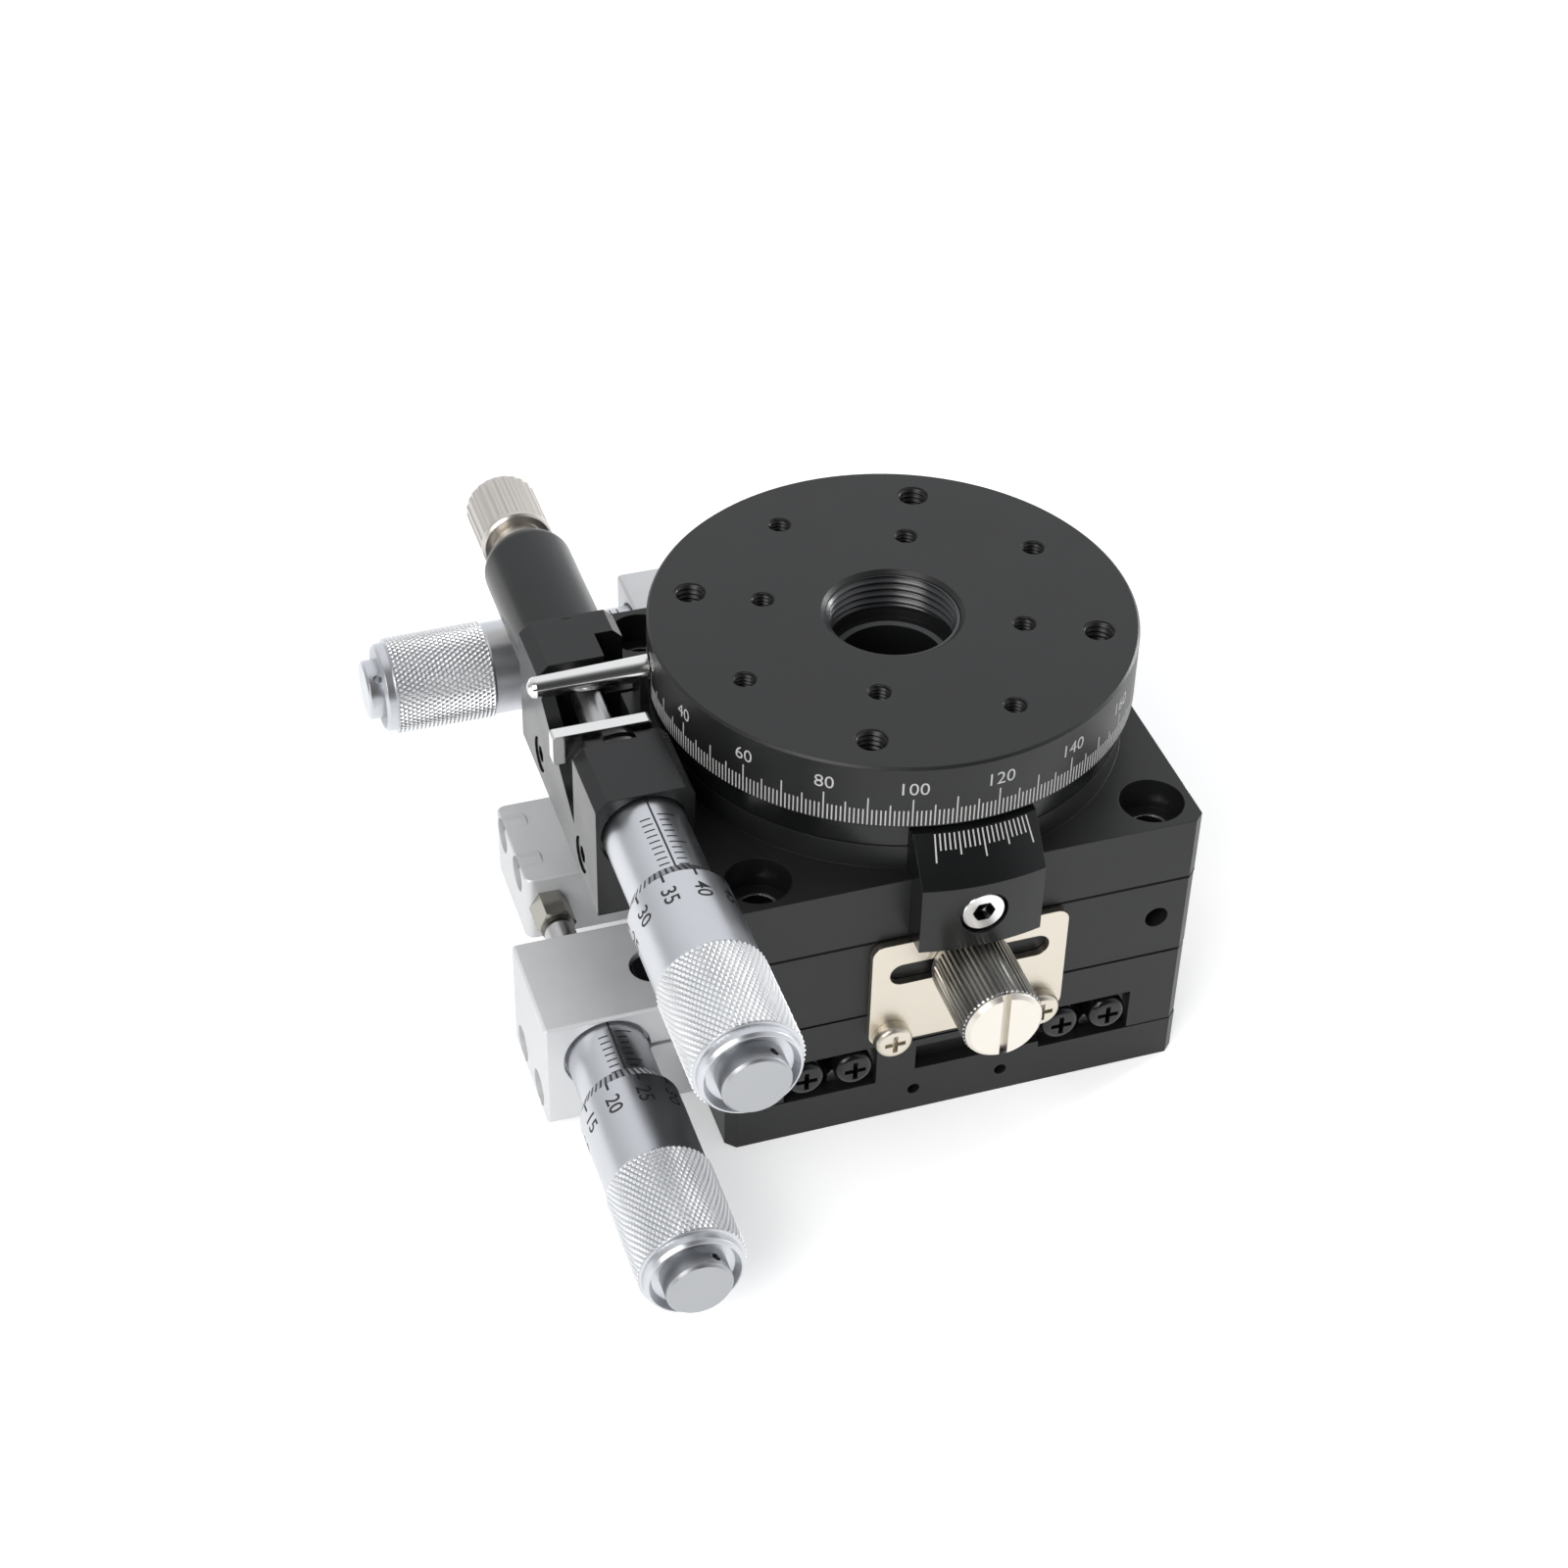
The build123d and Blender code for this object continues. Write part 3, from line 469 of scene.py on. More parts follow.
def finish(name, colour, roughness, metallic=0.0, spread=0.04, tone=0.1, size=9000.0, depth=0.1,
           along=None, specular=0.5, edge=0.0, hollow=None):
    """Principled finish whose colour, roughness and normal follow a grain or lathe marks.

    tone is the share by which the colour varies over broad patches, spread how far the
    roughness does. size is how fine the grain or the marks are, and depth the strength of
    their relief. along is None for a grain, x or y for marks round that axis, or "radius"
    for rings round the table's axis. edge is the radius, in millimetres, at which sharp
    edges catch the light. hollow gives a centre, the directions across it, two distances and
    the colour of painted shade that the finish takes inside the nearer one. It stands in for
    the shade in grooves, thread roots and sockets.
    """
    material = bpy.data.materials.new(name)
    material.use_nodes = True
    tree = material.node_tree
    shader = tree.nodes["Principled BSDF"]
    shader.inputs["Metallic"].default_value = metallic
    shader.inputs["Specular IOR Level"].default_value = specular
    place = tree.nodes.new("ShaderNodeTexCoord").outputs["Object"]
    effect = tree.nodes.new("ShaderNodeGroup")
    effect.node_tree = TURNING if along else GRAIN
    effect.inputs["Size"].default_value = size
    tree.links.new(place, effect.inputs["Vector"])
    if along:
        apart = tree.nodes.new("ShaderNodeSeparateXYZ")
        tree.links.new(place, apart.inputs[0])
        if along == "radius":
            flat = tree.nodes.new("ShaderNodeCombineXYZ")
            tree.links.new(apart.outputs["X"], flat.inputs["X"])
            tree.links.new(apart.outputs["Y"], flat.inputs["Y"])
            length = tree.nodes.new("ShaderNodeVectorMath")
            length.operation = "LENGTH"
            tree.links.new(flat.outputs[0], length.inputs[0])
            line = length.outputs["Value"]
        else:
            line = apart.outputs[along.upper()]
        tree.links.new(line, effect.inputs["Along"])
    tint = tree.nodes.new("ShaderNodeMix")
    tint.data_type = "RGBA"
    tree.links.new(remap(tree, effect.outputs["Patches"], 0.0, 1.0), tint.inputs["Factor"])
    tint.inputs["A"].default_value = (*[c * (1 - tone) for c in colour], 1)
    tint.inputs["B"].default_value = (*[min(1.0, c * (1 + tone)) for c in colour], 1)
    shown = tint.outputs["Result"]
    # Painted shade: on the near side of the near distance the colour goes over to the shade colour
    if hollow:
        centre, across, near, far, dark = hollow
        mask = tree.nodes.new("ShaderNodeGroup")
        mask.node_tree = HOLLOW
        tree.links.new(place, mask.inputs["Vector"])
        mask.inputs["Centre"].default_value = [c * MM for c in centre]
        mask.inputs["Across"].default_value = across
        mask.inputs["Near"].default_value = near * MM
        mask.inputs["Far"].default_value = far * MM
        sunk = tree.nodes.new("ShaderNodeMix")
        sunk.data_type = "RGBA"
        tree.links.new(mask.outputs["Mask"], sunk.inputs["Factor"])
        sunk.inputs["A"].default_value = (*dark, 1)
        tree.links.new(shown, sunk.inputs["B"])
        shown = sunk.outputs["Result"]
    tree.links.new(shown, shader.inputs["Base Color"])
    tree.links.new(remap(tree, effect.outputs["Patches"], roughness - spread, roughness + spread),
                   shader.inputs["Roughness"])
    bump = tree.nodes.new("ShaderNodeBump")
    bump.inputs["Strength"].default_value = depth
    bump.inputs["Distance"].default_value = GRAIN_DEPTH
    tree.links.new(effect.outputs["Height"], bump.inputs["Height"])
    tree.links.new(bump.outputs["Normal"], shader.inputs["Normal"])
    if edge:
        round_edge = tree.nodes.new("ShaderNodeBevel")
        round_edge.inputs["Radius"].default_value = edge * MM
        tree.links.new(round_edge.outputs["Normal"], bump.inputs["Normal"])
    return material


# Shared colours, and the distances from an axis between which a finish goes dark. The dark
# colours are painted shade in the knurls' grooves, the threads' roots and the screws' sockets
BLACK = (0.0095, 0.0099, 0.0101)
CHROME = (0.62, 0.635, 0.665)
GROOVE_SHADE = (0.07, 0.07, 0.08)
PALE_GROOVE_SHADE = (0.24, 0.24, 0.25)
KNURL_MASK = (KNURL_BASE + 0.02, KNURL_BASE + 0.11)
LOCK_MASK = (LOCK_BASE + 0.02, LOCK_CREST - 0.08, (0.06, 0.06, 0.06))
THREAD_MASK = (8.16, 7.92)
SOCKET_MASK = (1.22, 1.34)
FINISHES = {
    "black_plate": finish("black_anodised_plate", BLACK, roughness=0.42, tone=0.12, depth=0.25,
        specular=0.42, edge=0.12),
    "black_turned": finish("black_anodised_turned", BLACK, roughness=0.4, depth=0.12,
        along="radius", specular=0.42, edge=0.1),
    "black_block": finish("black_anodised_block", (0.006, 0.0064, 0.0068), roughness=0.24,
        tone=0.12, size=7000.0, depth=0.25, specular=0.42, edge=0.14),
    # Painted shade: the roots of the bore's thread, next to its wall, go near black
    "black_thread": finish("black_anodised_thread", (0.03, 0.032, 0.036), roughness=0.3,
        depth=0.05, specular=0.7,
        hollow=(TABLE_LINE, ROUND_Z, *THREAD_MASK, (0.001, 0.001, 0.001))),
    "hole_thread": finish("black_hole_thread", (0.008, 0.008, 0.009), roughness=0.34, depth=0.05,
        specular=0.4),
    # Painted highlight: a light grey band on the black ledge inside the table's bore
    "grey_ledge": finish("ledge_highlight", (0.16, 0.165, 0.17), roughness=0.4, metallic=0.3),
    "blasted": finish("clear_anodised_blasted", (0.70, 0.71, 0.72), roughness=0.46, metallic=0.4,
        spread=0.05, tone=0.04, size=12000.0, depth=0.35, edge=0.2),
    "chrome_y": finish("satin_chrome_y", CHROME, roughness=0.32, metallic=1.0, tone=0.02,
        depth=0.05, along="y", edge=0.1),
    "chrome_x": finish("satin_chrome_x", CHROME, roughness=0.32, metallic=1.0, tone=0.02,
        depth=0.05, along="x", edge=0.1),
    "chrome_cap": finish("satin_chrome_cap", (0.42, 0.43, 0.445), roughness=0.38, metallic=1.0,
        tone=0.03, depth=0.05, edge=0.12),
    "nickel": finish("pale_nickel", (0.70, 0.65, 0.56), roughness=0.34, metallic=1.0, spread=0.05,
        tone=0.03, depth=0.12, edge=0.12),
    "dark_nickel": finish("dark_nickel", (0.40, 0.385, 0.35), roughness=0.24, metallic=1.0,
        spread=0.05, tone=0.05, edge=0.1),
    "knob_nickel": finish("knob_nickel", (0.60, 0.57, 0.53), roughness=0.33, metallic=1.0,
        spread=0.05, tone=0.03, edge=0.1),
    "ground": finish("ground_steel", (0.5, 0.5, 0.5), roughness=0.28, metallic=1.0, spread=0.05,
        tone=0.05, along="y"),
    "black_screw": finish("black_oxide_screw", (0.006, 0.006, 0.007), roughness=0.2, spread=0.05,
        size=16000.0, depth=0.15, edge=0.1),
    "bright": finish("bright_steel", (0.8, 0.8, 0.79), roughness=0.14, metallic=1.0, spread=0.03,
        tone=0.03, depth=0.06, edge=0.1),
    # Painted shade: the hex sockets of the rotary cap screws go near black
    "socket": finish("bright_socket_screw", (0.84, 0.84, 0.84), roughness=0.2, metallic=1.0,
        tone=0.03, depth=0.08, edge=0.1,
        hollow=(CAP_SCREW_LINE, ROUND_Y, *SOCKET_MASK, (0.004, 0.004, 0.004))),
    "pale_steel": finish("pale_steel", (0.80, 0.76, 0.69), roughness=0.38, metallic=1.0,
        spread=0.05, tone=0.03, edge=0.12),
    "white_ink": finish("white_filled_mark", (0.5, 0.5, 0.49), roughness=0.6, tone=0.05,
        size=16000.0),
    "black_ink": finish("black_filled_mark", (0.012, 0.012, 0.014), roughness=0.45, size=16000.0),
    "shadow_gap": finish("shadow_gap", (0.003, 0.003, 0.003), roughness=0.7, spread=0.05,
        specular=0.1),
    # Painted shade: the grooves between the knurls' pyramids are darkened, the R head's less
    "y_knurl": finish("satin_chrome_y_knurl", (0.93, 0.94, 0.96), roughness=0.32, metallic=1.0,
        tone=0.03, size=20000.0, depth=0.05, hollow=(Y_HEAD_LINE, ROUND_Y, *KNURL_MASK, GROOVE_SHADE)),
    "x_knurl": finish("satin_chrome_x_knurl", (0.93, 0.94, 0.96), roughness=0.32, metallic=1.0,
        tone=0.03, size=20000.0, depth=0.05, hollow=(X_HEAD_LINE, ROUND_X, *KNURL_MASK, GROOVE_SHADE)),
    "r_knurl": finish("satin_chrome_r_knurl", (0.95, 0.96, 0.97), roughness=0.32, metallic=1.0,
        tone=0.03, size=20000.0, depth=0.05,
        hollow=(R_HEAD_LINE, ROUND_Y, *KNURL_MASK, PALE_GROOVE_SHADE)),
    # Painted shade: the grooves between the thumb screws' teeth are darkened
    "y_lock_knurl": finish("knurled_steel_y", (0.66, 0.65, 0.62), roughness=0.3, metallic=1.0,
        spread=0.05, tone=0.05, hollow=(Y_LOCK_LINE, ROUND_X, *LOCK_MASK)),
    "x_lock_knurl": finish("knurled_steel_x", (0.66, 0.65, 0.62), roughness=0.3, metallic=1.0,
        spread=0.05, tone=0.05, hollow=(X_LOCK_LINE, ROUND_Y, *LOCK_MASK)),
}

# Which finish each solid of the frame takes
DRESSED = {
    "black_plate": ["base_plate", "middle_plate", "upper_plate", "rotation_base"],
    "black_turned": ["rotary_table"],
    "black_block": ["vernier_block", "rotation_bracket", "swing_lever"],
    "blasted": ["y_micrometer_bracket", "x_micrometer_bracket", "y_anvil_bracket",
                "x_anvil_bracket"],
    "chrome_y": ["y_sleeve", "y_thimble", "r_sleeve", "r_thimble"],
    "chrome_x": ["x_sleeve", "x_thimble", "x_thimble_cap"],
    "chrome_cap": ["y_thimble_cap", "r_thimble_cap"],
    "dark_nickel": ["y_anvil_screw", "x_anvil_screw"],
    "knob_nickel": ["plunger_knob"],
    "ground": ["y_inner_rails", "y_outer_rails", "x_inner_rails", "x_outer_rails", "y_rollers",
               "x_rollers", "y_spindle", "x_spindle", "r_spindle", "bearing_outer_ring",
               "bearing_inner_ring", "bearing_rollers", "plunger"],
    "black_screw": ["y_inner_rail_end_screws", "middle_rail_end_screws",
                    "x_outer_rail_end_screws", "y_bracket_screws", "middle_side_screws",
                    "upper_side_screws", "y_clamp_screw", "x_clamp_screw"],
    "bright": ["arm_pin", "contact_plate", "r_clamp_nut"],
    "socket": ["rotary_cap_screws"],
    "pale_steel": ["y_lock_screw", "x_lock_screw"],
    "nickel": ["y_lock_plate", "x_lock_plate", "y_lock_plate_screws", "x_lock_plate_screws",
               "y_roller_cages", "x_roller_cages"],
}


def dress_solids():
    """Give every solid its finish, whatever slots it came with."""
    for key, names in DRESSED.items():
        for name in names:
            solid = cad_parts[name]
            if not solid.material_slots:
                solid.data.materials.append(FINISHES[key])
            for slot in solid.material_slots:
                slot.material = FINISHES[key]


# ---------------------------------------------------------------- graduations

def table_scale():
    """360 ticks round the disc, longer every 5 and 10 degrees, with a number every 20."""
    degree = np.arange(360)
    plain, fifth, tenth = SCALE_TOPS
    top = np.where(degree % 10 == 0, tenth, np.where(degree % 5 == 0, fifth, plain))
    middle = np.radians(ZERO_ANGLE + degree)
    half = TICK_W / 2 / DISC_R
    points, faces = bars(middle - half, middle + half, SCALE_BOTTOM, top)
    make_piece("table_scale_ticks", on_disc(points), faces, FINISHES["white_ink"], "table",
               mend=True)
    parts = []
    for number in range(0, 360, 20):
        flat, triangles = lettering(str(number), NUMBER_H, slice_along=0, step=0.6,
                                    weight=-0.004)
        flat[:, 0] = math.radians(ZERO_ANGLE + number) + flat[:, 0] / DISC_R
        flat[:, 1] += NUMBER_Z
        parts.append((on_disc(flat), triangles))
    points, faces = joined(parts)
    make_piece("table_scale_numbers", points, faces, FINISHES["white_ink"], "table")


def vernier_scale():
    """21 lines down the bevel, longest at both ends and the middle."""
    line = np.arange(VERNIER_LINES)
    middle = np.radians(np.linspace(VERNIER_FROM, VERNIER_TO, VERNIER_LINES))
    plain, fifth, tenth = VERNIER_LENGTHS
    length = np.where(line % 10 == 0, tenth, np.where(line % 5 == 0, fifth, plain))
    half = TICK_W / 2 / BEVEL_TOP[0]
    points, faces = bars(middle - half, middle + half, VERNIER_START, length)
    make_piece("vernier_lines", on_vernier(points), faces, FINISHES["white_ink"], "x_carriage",
               mend=True)


def head_scales(name, head):
    """Index line and millimetre ticks on the sleeve, divisions and numbers on the thimble."""
    index = math.radians(INDEX_AT)
    whole = np.arange(TRAVEL + 1)
    start, plain, fifth = UPPER_TICKS
    lower_end, lower_start = LOWER_TICKS
    reach = np.where(whole % 5 == 0, fifth, plain)
    at = head["zero"] - whole
    between = head["zero"] - whole[:-1] - 0.5
    parts = [
        bars(index - INDEX_HALF / SLEEVE_R, index + INDEX_HALF / SLEEVE_R,
             head["zero"] - TRAVEL - 0.5, head["front"] + 0.6),
        bars(index + math.radians(start), index + np.radians(reach),
             at - SLEEVE_TICK_HALF, at + SLEEVE_TICK_HALF, cells=4),
        bars(index - math.radians(lower_end), index - math.radians(lower_start),
             between - SLEEVE_TICK_HALF, between + SLEEVE_TICK_HALF, cells=3),
    ]
    points, faces = joined([(on_sleeve(head)(p), f) for p, f in parts])
    make_piece(name + "_sleeve_scale", points, faces, FINISHES["black_ink"], head["fixed"],
               mend=True)

    division = np.arange(DIVISIONS)
    turn = 2 * math.pi / DIVISIONS
    middle = index + (division - head["shows"]) * turn
    half = MARK_HALF / EDGE_R
    plain, fifth = MARK_LENGTHS
    length = np.where(division % 5 == 0, fifth, plain)
    # the bevel and the cylinder behind it meet at a corner, so a long mark is made in two
    points, faces = joined([
        bars(middle - half, middle + half, MARK_START, np.minimum(length, BEVEL)),
        bars(middle[::5] - half, middle[::5] + half, BEVEL, length[::5]),
    ])
    make_piece(name + "_thimble_marks", on_thimble(head)(points), faces, FINISHES["black_ink"],
               head["turning"], mend=True)
    parts = []
    for number in range(0, DIVISIONS, 5):
        flat, triangles = lettering(str(number), THIMBLE_NUMBER_H, slice_along=1, step=0.3,
                                    weight=0.008)
        around = flat[:, 1] / THIMBLE_R + index + (number - head["shows"]) * turn
        along = flat[:, 0] - flat[:, 0].min() + THIMBLE_NUMBER_AT
        marks = np.stack([around, along, flat[:, 2]], axis=-1)
        parts.append((on_thimble(head)(marks), triangles))
    points, faces = joined(parts)
    make_piece(name + "_thimble_numbers", points, faces, FINISHES["black_ink"], head["turning"])


# ---------------------------------------------------------------- knurls and threads

def ridge(turns):
    """Triangular wave: 0 at every whole number, 1 halfway between."""
    return 1 - np.abs(2 * (turns % 1.0) - 1)


def diamond_knurl(name, head):
    """Band of small pyramids where two families of helical grooves cross.

    Height over the groove is the smaller of two triangular waves, one rising and one falling
    along the helix, cut off flat at the crest. The band is closed by an inner wall.
    """
    circumference = 2 * math.pi * THIMBLE_R
    lead = circumference / KNURL_STARTS / math.tan(math.radians(KNURL_ANGLE))
    steps_round, steps_along = KNURL_STEPS
    columns = KNURL_STARTS * steps_round
    rows = int(round((KNURL_TO - KNURL_FROM) / lead * steps_along)) + 1
    angle = np.linspace(0, 2 * math.pi, columns, endpoint=False)[None, :]
    back = np.linspace(KNURL_FROM, KNURL_TO, rows)[:, None]
    first, second = (KNURL_STARTS * angle / (2 * math.pi) + sign * back / lead for sign in (-1, 1))
    pyramid = np.clip(KNURL_STEEPNESS * np.minimum(ridge(first), ridge(second)), 0, 1)
    radius = KNURL_BASE + (KNURL_CREST - KNURL_BASE) * pyramid
    inner = np.full((1, columns), KNURL_BASE - BAND_WALL)
    radius = np.concatenate([radius, inner, inner])
    back = np.concatenate([back, back[-1:], back[:1]]) + np.zeros_like(radius)
    points = round_axis(head, angle + np.zeros_like(radius), head["edge"] - back, radius)
    faces = grid_quads(rows + 2, columns, True, True)
    make_piece(name + "_thimble_knurl", points, faces, FINISHES[name + "_knurl"],
               head["turning"], mend=True)


def straight_knurl(name, place, body):
    """Straight teeth round a thumb screw, tapered at both ends of the band."""
    columns = LOCK_TEETH * KNURL_STEPS[0]
    angle = np.linspace(0, 2 * math.pi, columns, endpoint=False)[None, :]
    station = np.array([LOCK_FROM, LOCK_FROM + LOCK_TAPER, LOCK_TO - LOCK_TAPER, LOCK_TO,
                        LOCK_TO, LOCK_FROM])[:, None]
    tooth = np.clip(LOCK_STEEPNESS * ridge(LOCK_TEETH * angle / (2 * math.pi)), 0, 1)
    share = np.array([0.0, 1.0, 1.0, 0.0, 0.0, 0.0])[:, None]
    base = np.array([0.0, 0.0, 0.0, 0.0, -BAND_WALL, -BAND_WALL])[:, None] + LOCK_BASE
    radius = base + (LOCK_CREST - LOCK_BASE) * tooth * share
    points = np.stack([station + np.zeros_like(radius), radius * np.sin(angle),
                       LOCK_Z + radius * np.cos(angle)], axis=-1)
    faces = grid_quads(len(station), columns, True, True)
    make_piece(name, place(points), faces, FINISHES[name], body, mend=True)


def thread_lining(centre, wall, crest, pitch, low, high, mouth):
    """Lining of a tapped hole: a helical ridge whose height fades in at the lower end.

    The radius is the wall less a rounded wave of height over pitch minus angle; above it a
    cone opens to the wall at the mouth, and a back wall closes the form.
    """
    columns = WIDE_STEPS if wall > WIDE_HOLE else NARROW_STEPS
    rows = int((high - low) / pitch * TURN_STEPS) + 1
    angle = np.linspace(0, 2 * math.pi, columns, endpoint=False)[None, :]
    height = np.linspace(low, high, rows)[:, None]
    wave = ridge(height / pitch - angle / (2 * math.pi)) ** WAVE_POWER
    fade = np.clip((height - low) / (FADE_TURNS * pitch), 0, 1)
    back = wall - LINING_BACK
    root = back - LINING_ROOT
    radius = root - (root - crest) * wave * fade
    top = np.full((1, columns), back)
    radius = np.concatenate([radius, top, top])
    height = np.concatenate([height, [[mouth]], [[low]]]) + np.zeros_like(radius)
    points = np.stack([centre[0] + radius * np.cos(angle), centre[1] + radius * np.sin(angle),
                       height], axis=-1)
    return points, grid_quads(rows + 2, columns, True, True)


def table_threads():
    """Threads in the bore and in the twelve tapped holes of the table."""
    wall, crest, pitch, low, high = BORE
    points, faces = thread_lining((0, 0), wall, crest, pitch, low, high, high + BORE_MOUTH)
    make_piece("table_bore_thread", points, faces, FINISHES["black_thread"], "table",
               smooth=True, mend=True)
    # Painted highlight: a light band on the ledge round the bore's opening
    opening, ledge = BORE_LEDGE
    band("table_bore_ledge", round_outline((0, 0), opening), LEDGE_BAND,
         (ledge - BAND_SUNK, ledge + PRINT_UP), "grey_ledge", "table")
    for row, (circle, wall, first, crest, pitch) in enumerate(HOLES):
        parts = []
        for quarter in range(4):
            at = math.radians(first + 90 * quarter)
            centre = (circle / 2 * math.cos(at), circle / 2 * math.sin(at))
            parts.append(thread_lining(centre, wall, crest, pitch,
                                       DISC_TOP - HOLE_DEPTH + BAND_SUNK,
                                       DISC_TOP - HOLE_THREAD_TOP, DISC_TOP - HOLE_MOUTH))
        points, faces = joined(parts)
        make_piece(f"table_hole_threads_{row + 1}", points, faces, FINISHES["hole_thread"],
                   "table", smooth=True, mend=True)


def band(name, outline, offsets, levels, finish_key, body):
    """Closed band along a flat outline: a square section between two offsets and levels."""
    out = np.array([offsets[0], offsets[1], offsets[1], offsets[0]])[:, None]
    z = np.array([levels[0], levels[0], levels[1], levels[1]])[:, None]
    x, y = outline(out)
    points = np.stack([x, y, z + np.zeros_like(x)], axis=-1)
    make_piece(name, points, grid_quads(4, points.shape[1], True, True), FINISHES[finish_key],
               body, mend=True)


def plate_outline(out):
    """Square with cut corners, moved outwards."""
    long, short = PLATE_HALF + out, PLATE_HALF - PLATE_CUT + out
    x = np.concatenate([long, long, short, -short, -long, -long, -short, short], axis=1)
    y = np.concatenate([-short, short, long, long, short, -short, -long, -long], axis=1)
    return x, y


def round_outline(centre, hole, steps=96):
    """Circle of a hole's mouth, moved outwards."""
    angle = np.linspace(0, 2 * math.pi, steps, endpoint=False)[None, :]

    def outline(out):
        radius = hole + out
        return centre[0] + radius * np.cos(angle), centre[1] + radius * np.sin(angle)
    return outline


def anvil_bridges(name, place, body):
    """Thin wall over each counterbore of an anvil bracket, where it comes near the top.

    Its underside is an arc round the screw's axis. Its top is the bracket's own level, and
    rises a little over the screw's head, which stands just above that level.
    """
    across = np.linspace(-BRIDGE_HALF, BRIDGE_HALF, 13)
    under = BRIDGE_AXIS + np.sqrt(BRIDGE_R ** 2 - across ** 2)
    over = np.maximum(BRIDGE_TOP, BRIDGE_AXIS + np.sqrt(BRIDGE_COVER ** 2 - across ** 2))
    columns = 2 * len(across)
    y = np.concatenate([across, across[::-1]])
    z = np.concatenate([under, over[::-1]])
    here = np.arange(len(across) - 1)
    end = np.stack([here, here + 1, columns - 2 - here, columns - 1 - here], axis=-1)
    faces = np.concatenate([grid_quads(2, columns, False, True), end, end + columns])
    parts = []
    for middle in BRIDGE_MIDDLES:
        x = np.array(BRIDGE_X)[:, None] + np.zeros_like(y)
        points = np.stack([x, middle + y + np.zeros_like(x), z + np.zeros_like(x)], axis=-1)
        parts.append((place(points), faces))
    points, faces = joined(parts)
    make_piece(name, points, faces, FINISHES["blasted"], body, mend=True)


def plate_details():
    """Shadow gap between the two upper plates, and rings of painted highlight in the corner
    counterbores.
    """
    below, above = SEAM_SPAN
    band("upper_seam", plate_outline, (-SEAM_DEPTH, PRINT_UP), (SEAM_Z - below, SEAM_Z + above),
         "shadow_gap", "x_carriage")
    for number, (side, front) in enumerate([(1, -1), (1, 1), (-1, 1), (-1, -1)]):
        # Painted highlight: a bright ring round each corner hole, standing in for a lit chamfer
        corner = (RIM_AT * side, RIM_AT * front)
        band(f"corner_rim_highlight_{number + 1}", round_outline(corner, RIM_HOLE_R), RIM_BAND,
             (RIM_Z - BAND_SUNK, RIM_Z + PRINT_UP), "bright", "x_carriage")


# ---------------------------------------------------------------- studio

def make_camera():
    """Camera that looks along AZIMUTH, down by ELEVATION, and is rolled about its axis."""
    azimuth, elevation, roll = (math.radians(a) for a in (AZIMUTH, ELEVATION, ROLL))
    ahead = Vector((math.sin(azimuth) * math.cos(elevation),
                    math.cos(azimuth) * math.cos(elevation), -math.sin(elevation)))
    level = Vector((math.cos(azimuth), -math.sin(azimuth), 0))
    down = Vector((-math.sin(azimuth) * math.sin(elevation),
                   -math.cos(azimuth) * math.sin(elevation), -math.cos(elevation)))
    right = math.cos(roll) * level - math.sin(roll) * down
    up = -math.cos(roll) * down - math.sin(roll) * level
    camera = bpy.data.objects.new("view", bpy.data.cameras.new("view"))
    camera.data.lens = LENS
    camera.data.sensor_width = 36.0
    camera.data.clip_start = 0.01
    camera.data.clip_end = 50.0
    camera.matrix_world = (Matrix.Translation(Vector(CAMERA_AT) * MM)
                           @ Matrix((right, up, -ahead)).transposed().to_4x4())
    bpy.context.scene.collection.objects.link(camera)
    bpy.context.scene.camera = camera


def sum_of(tree, values):
    """Values added together and held between 0 and 1."""
    total = values[0]
    for value in values[1:]:
        node = tree.nodes.new("ShaderNodeMath")
        node.operation = "ADD"
        node.use_clamp = True
        tree.links.new(total, node.inputs[0])
        tree.links.new(value, node.inputs[1])
        total = node.outputs[0]
    return total


def towards(tree, way, side, span, levels):
    """Level that changes smoothly with how far a direction points to one side."""
    apart = tree.nodes.new("ShaderNodeVectorMath")
    apart.operation = "DOT_PRODUCT"
    apart.inputs[1].default_value = side
    tree.links.new(way, apart.inputs[0])
    shade = tree.nodes.new("ShaderNodeMapRange")
    shade.interpolation_type = "SMOOTHSTEP"
    tree.links.new(apart.outputs["Value"], shade.inputs["Value"])
    shade.inputs["From Min"].default_value = span[0]
    shade.inputs["From Max"].default_value = span[1]
    shade.inputs["To Min"].default_value = levels[0]
    shade.inputs["To Max"].default_value = levels[1]
    return shade.outputs["Result"]


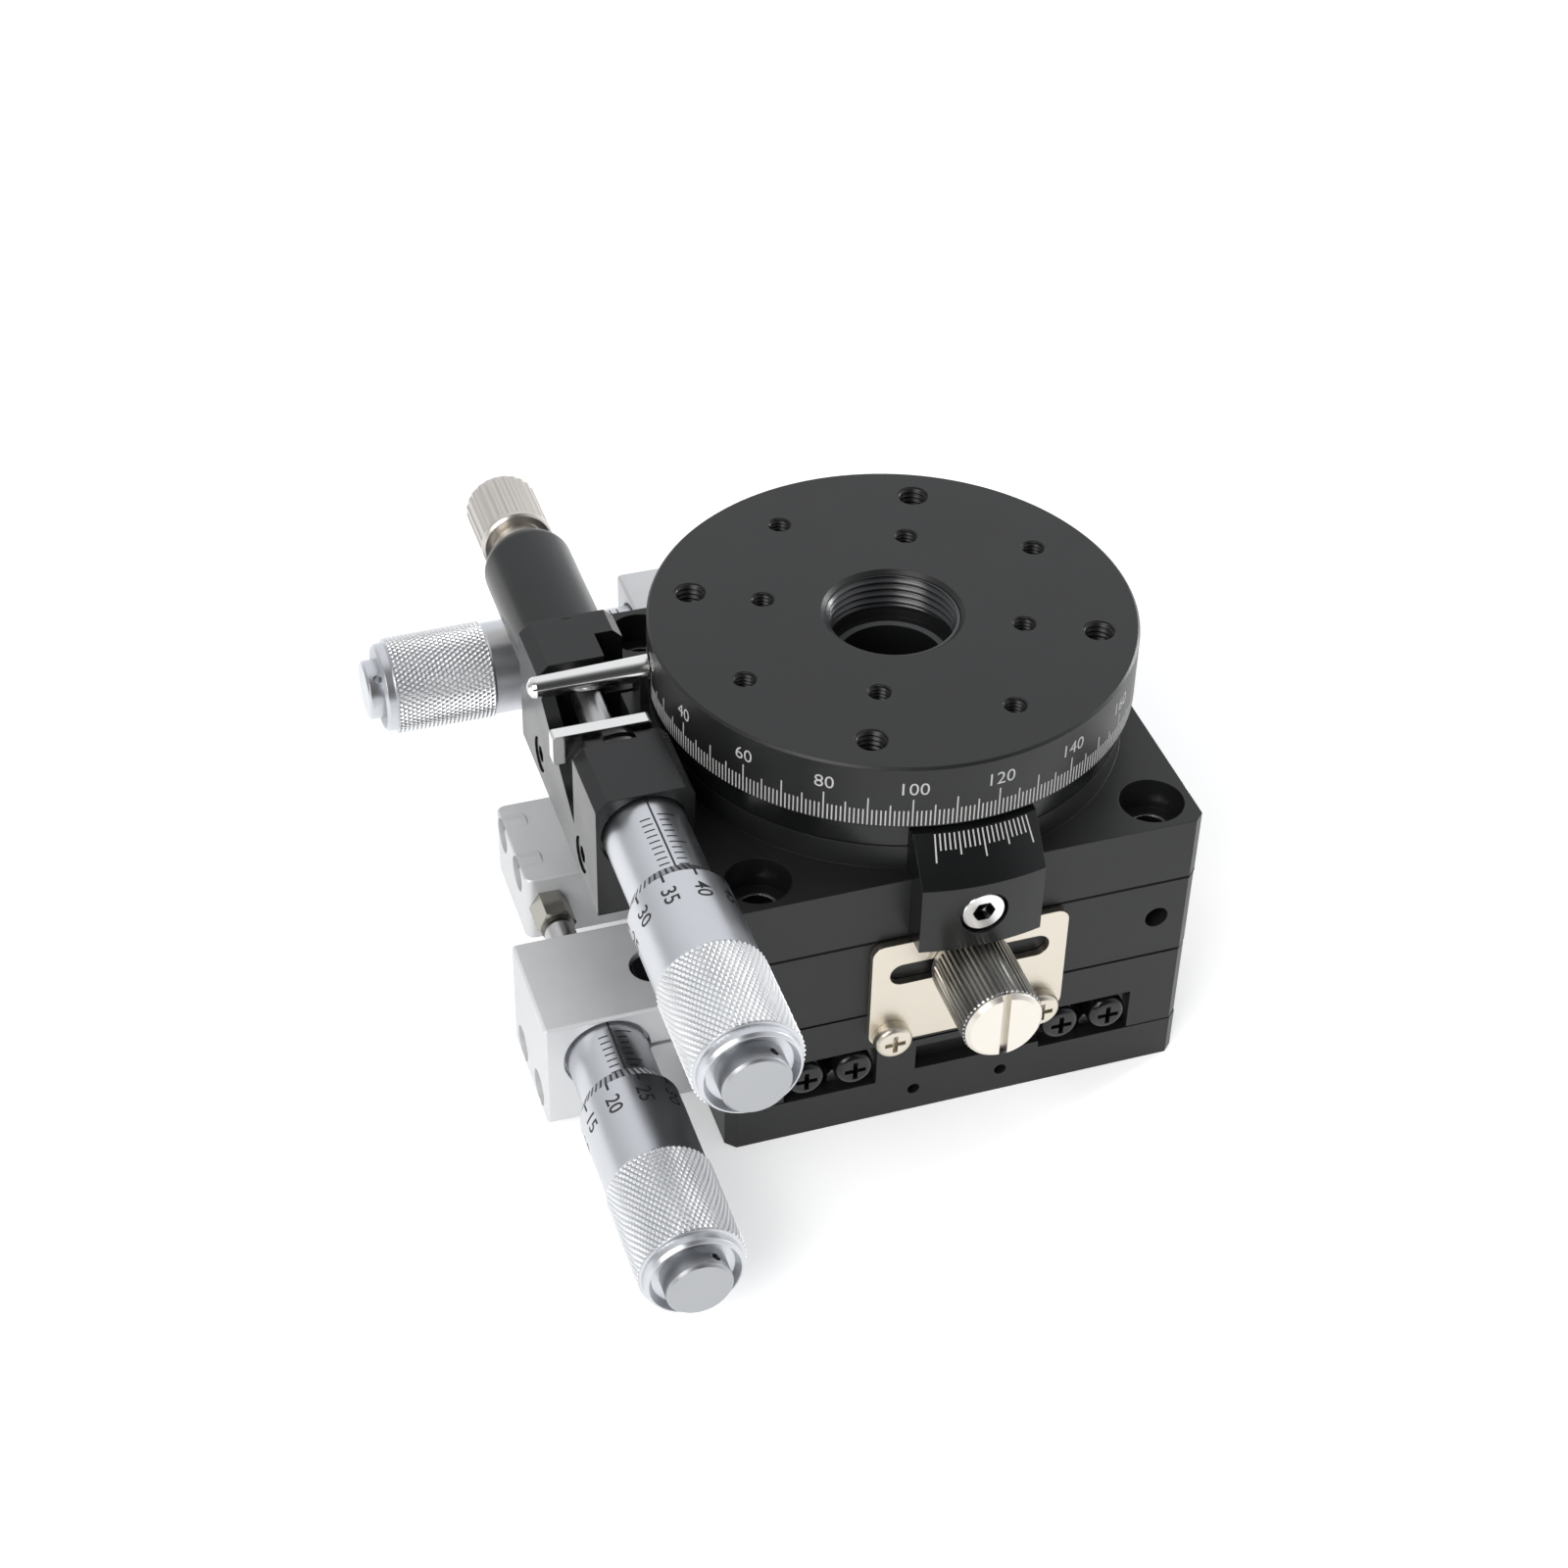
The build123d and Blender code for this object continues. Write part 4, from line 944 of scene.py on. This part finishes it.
def make_world():
    """White to the camera and through glass, soft to lit surfaces.

    Mirrored rays see the same white, brightest behind and to the right of the stage and
    falling off to the left, as in a tent lit from one side, with its opening at the camera.
    """
    world = bpy.data.worlds.new("studio")
    world.use_nodes = True
    bpy.context.scene.world = world
    tree = world.node_tree
    soft = tree.nodes["Background"]
    soft.inputs["Color"].default_value = WORLD_TINT
    soft.inputs["Strength"].default_value = WORLD_LEVEL
    way = tree.nodes.new("ShaderNodeTexCoord").outputs["Generated"]
    tent = tree.nodes.new("ShaderNodeBackground")
    tent.inputs["Color"].default_value = TENT_TINT
    opening = tree.nodes.new("ShaderNodeMath")
    opening.operation = "MULTIPLY"
    tree.links.new(towards(tree, way, BRIGHT_SIDE, BRIGHT_SPAN, (TENT_LOW, 1.0)),
                   opening.inputs[0])
    tree.links.new(towards(tree, way, OPEN_SIDE, OPEN_SPAN, (1.0, TENT_OPENING)),
                   opening.inputs[1])
    tree.links.new(opening.outputs[0], tent.inputs["Strength"])
    white = tree.nodes.new("ShaderNodeBackground")
    white.inputs["Color"].default_value = WHITE
    white.inputs["Strength"].default_value = 1.0
    path = tree.nodes.new("ShaderNodeLightPath")
    shown = sum_of(tree, [path.outputs["Is Camera Ray"], path.outputs["Is Transmission Ray"]])
    result = soft.outputs[0]
    for mask, background in ((path.outputs["Is Glossy Ray"], tent), (shown, white)):
        choose = tree.nodes.new("ShaderNodeMixShader")
        tree.links.new(mask, choose.inputs[0])
        tree.links.new(result, choose.inputs[1])
        tree.links.new(background.outputs[0], choose.inputs[2])
        result = choose.outputs[0]
    tree.links.new(result, tree.nodes["World Output"].inputs["Surface"])


def make_lamp(name, at, width, height, power, colour):
    """Area lamp in millimetres and watts that faces the middle of the stage."""
    lamp = bpy.data.lights.new(name, "AREA")
    lamp.shape = "RECTANGLE"
    lamp.size = width * MM
    lamp.size_y = height * MM
    lamp.energy = power
    lamp.color = colour
    holder = bpy.data.objects.new(name, lamp)
    place = Vector(at) * MM
    aim = Vector((0, 0, SEAM_Z)) * MM - place
    turned = aim.to_track_quat("-Z", "Y").to_matrix().to_4x4()
    holder.matrix_world = Matrix.Translation(place) @ turned
    bpy.context.scene.collection.objects.link(holder)


def make_floor():
    """Wide pale floor just under the stage, white to the camera except where it is in shadow."""
    material = bpy.data.materials.new("floor_paper")
    material.use_nodes = True
    tree = material.node_tree
    shader = tree.nodes["Principled BSDF"]
    shader.inputs["Base Color"].default_value = FLOOR_COLOUR
    shader.inputs["Roughness"].default_value = 0.9
    shader.inputs["Specular IOR Level"].default_value = 0.0
    glow = tree.nodes.new("ShaderNodeEmission")
    glow.inputs["Color"].default_value = WHITE
    path = tree.nodes.new("ShaderNodeLightPath")
    level = tree.nodes.new("ShaderNodeMath")
    level.operation = "MULTIPLY"
    level.inputs[1].default_value = FLOOR_GLOW
    rays = ("Is Camera Ray", "Is Glossy Ray", "Is Transmission Ray")
    tree.links.new(sum_of(tree, [path.outputs[ray] for ray in rays]), level.inputs[0])
    tree.links.new(level.outputs[0], glow.inputs["Strength"])
    both = tree.nodes.new("ShaderNodeAddShader")
    tree.links.new(shader.outputs[0], both.inputs[0])
    tree.links.new(glow.outputs[0], both.inputs[1])
    tree.links.new(both.outputs[0], tree.nodes["Material Output"].inputs["Surface"])
    side = np.linspace(-FLOOR_HALF, FLOOR_HALF, 5)
    x, y = np.meshgrid(side, side)
    points = np.stack([x, y, np.full_like(x, FLOOR_Z)], axis=-1).reshape(-1, 3)
    mesh = bpy.data.meshes.new("floor")
    mesh.from_pydata((points * MM).tolist(), [],
                     grid_quads(len(side), len(side), False, False).tolist())
    mesh.materials.append(material)
    floor = bpy.data.objects.new("floor", mesh)
    bpy.context.scene.collection.objects.link(floor)


make_camera()
bpy.context.scene.view_settings.view_transform = "Standard"
make_world()
make_lamp("key_left", at=(-620, -520, 620), width=620, height=620, power=6.5,
          colour=(1.0, 0.99, 0.98))
make_lamp("rim_right", at=(560, 160, 120), width=60, height=320, power=1.7,
          colour=(0.98, 0.99, 1.0))
make_floor()

dress_solids()
table_scale()
vernier_scale()
for key, head in HEADS.items():
    head_scales(key, head)
    diamond_knurl(key, head)
straight_knurl("y_lock_knurl", as_drawn, "y_lock")
straight_knurl("x_lock_knurl", raised, "x_lock")
table_threads()
plate_details()
anvil_bridges("y_anvil_bridges", as_drawn, "y_carriage")
anvil_bridges("x_anvil_bridges", raised, "x_carriage")
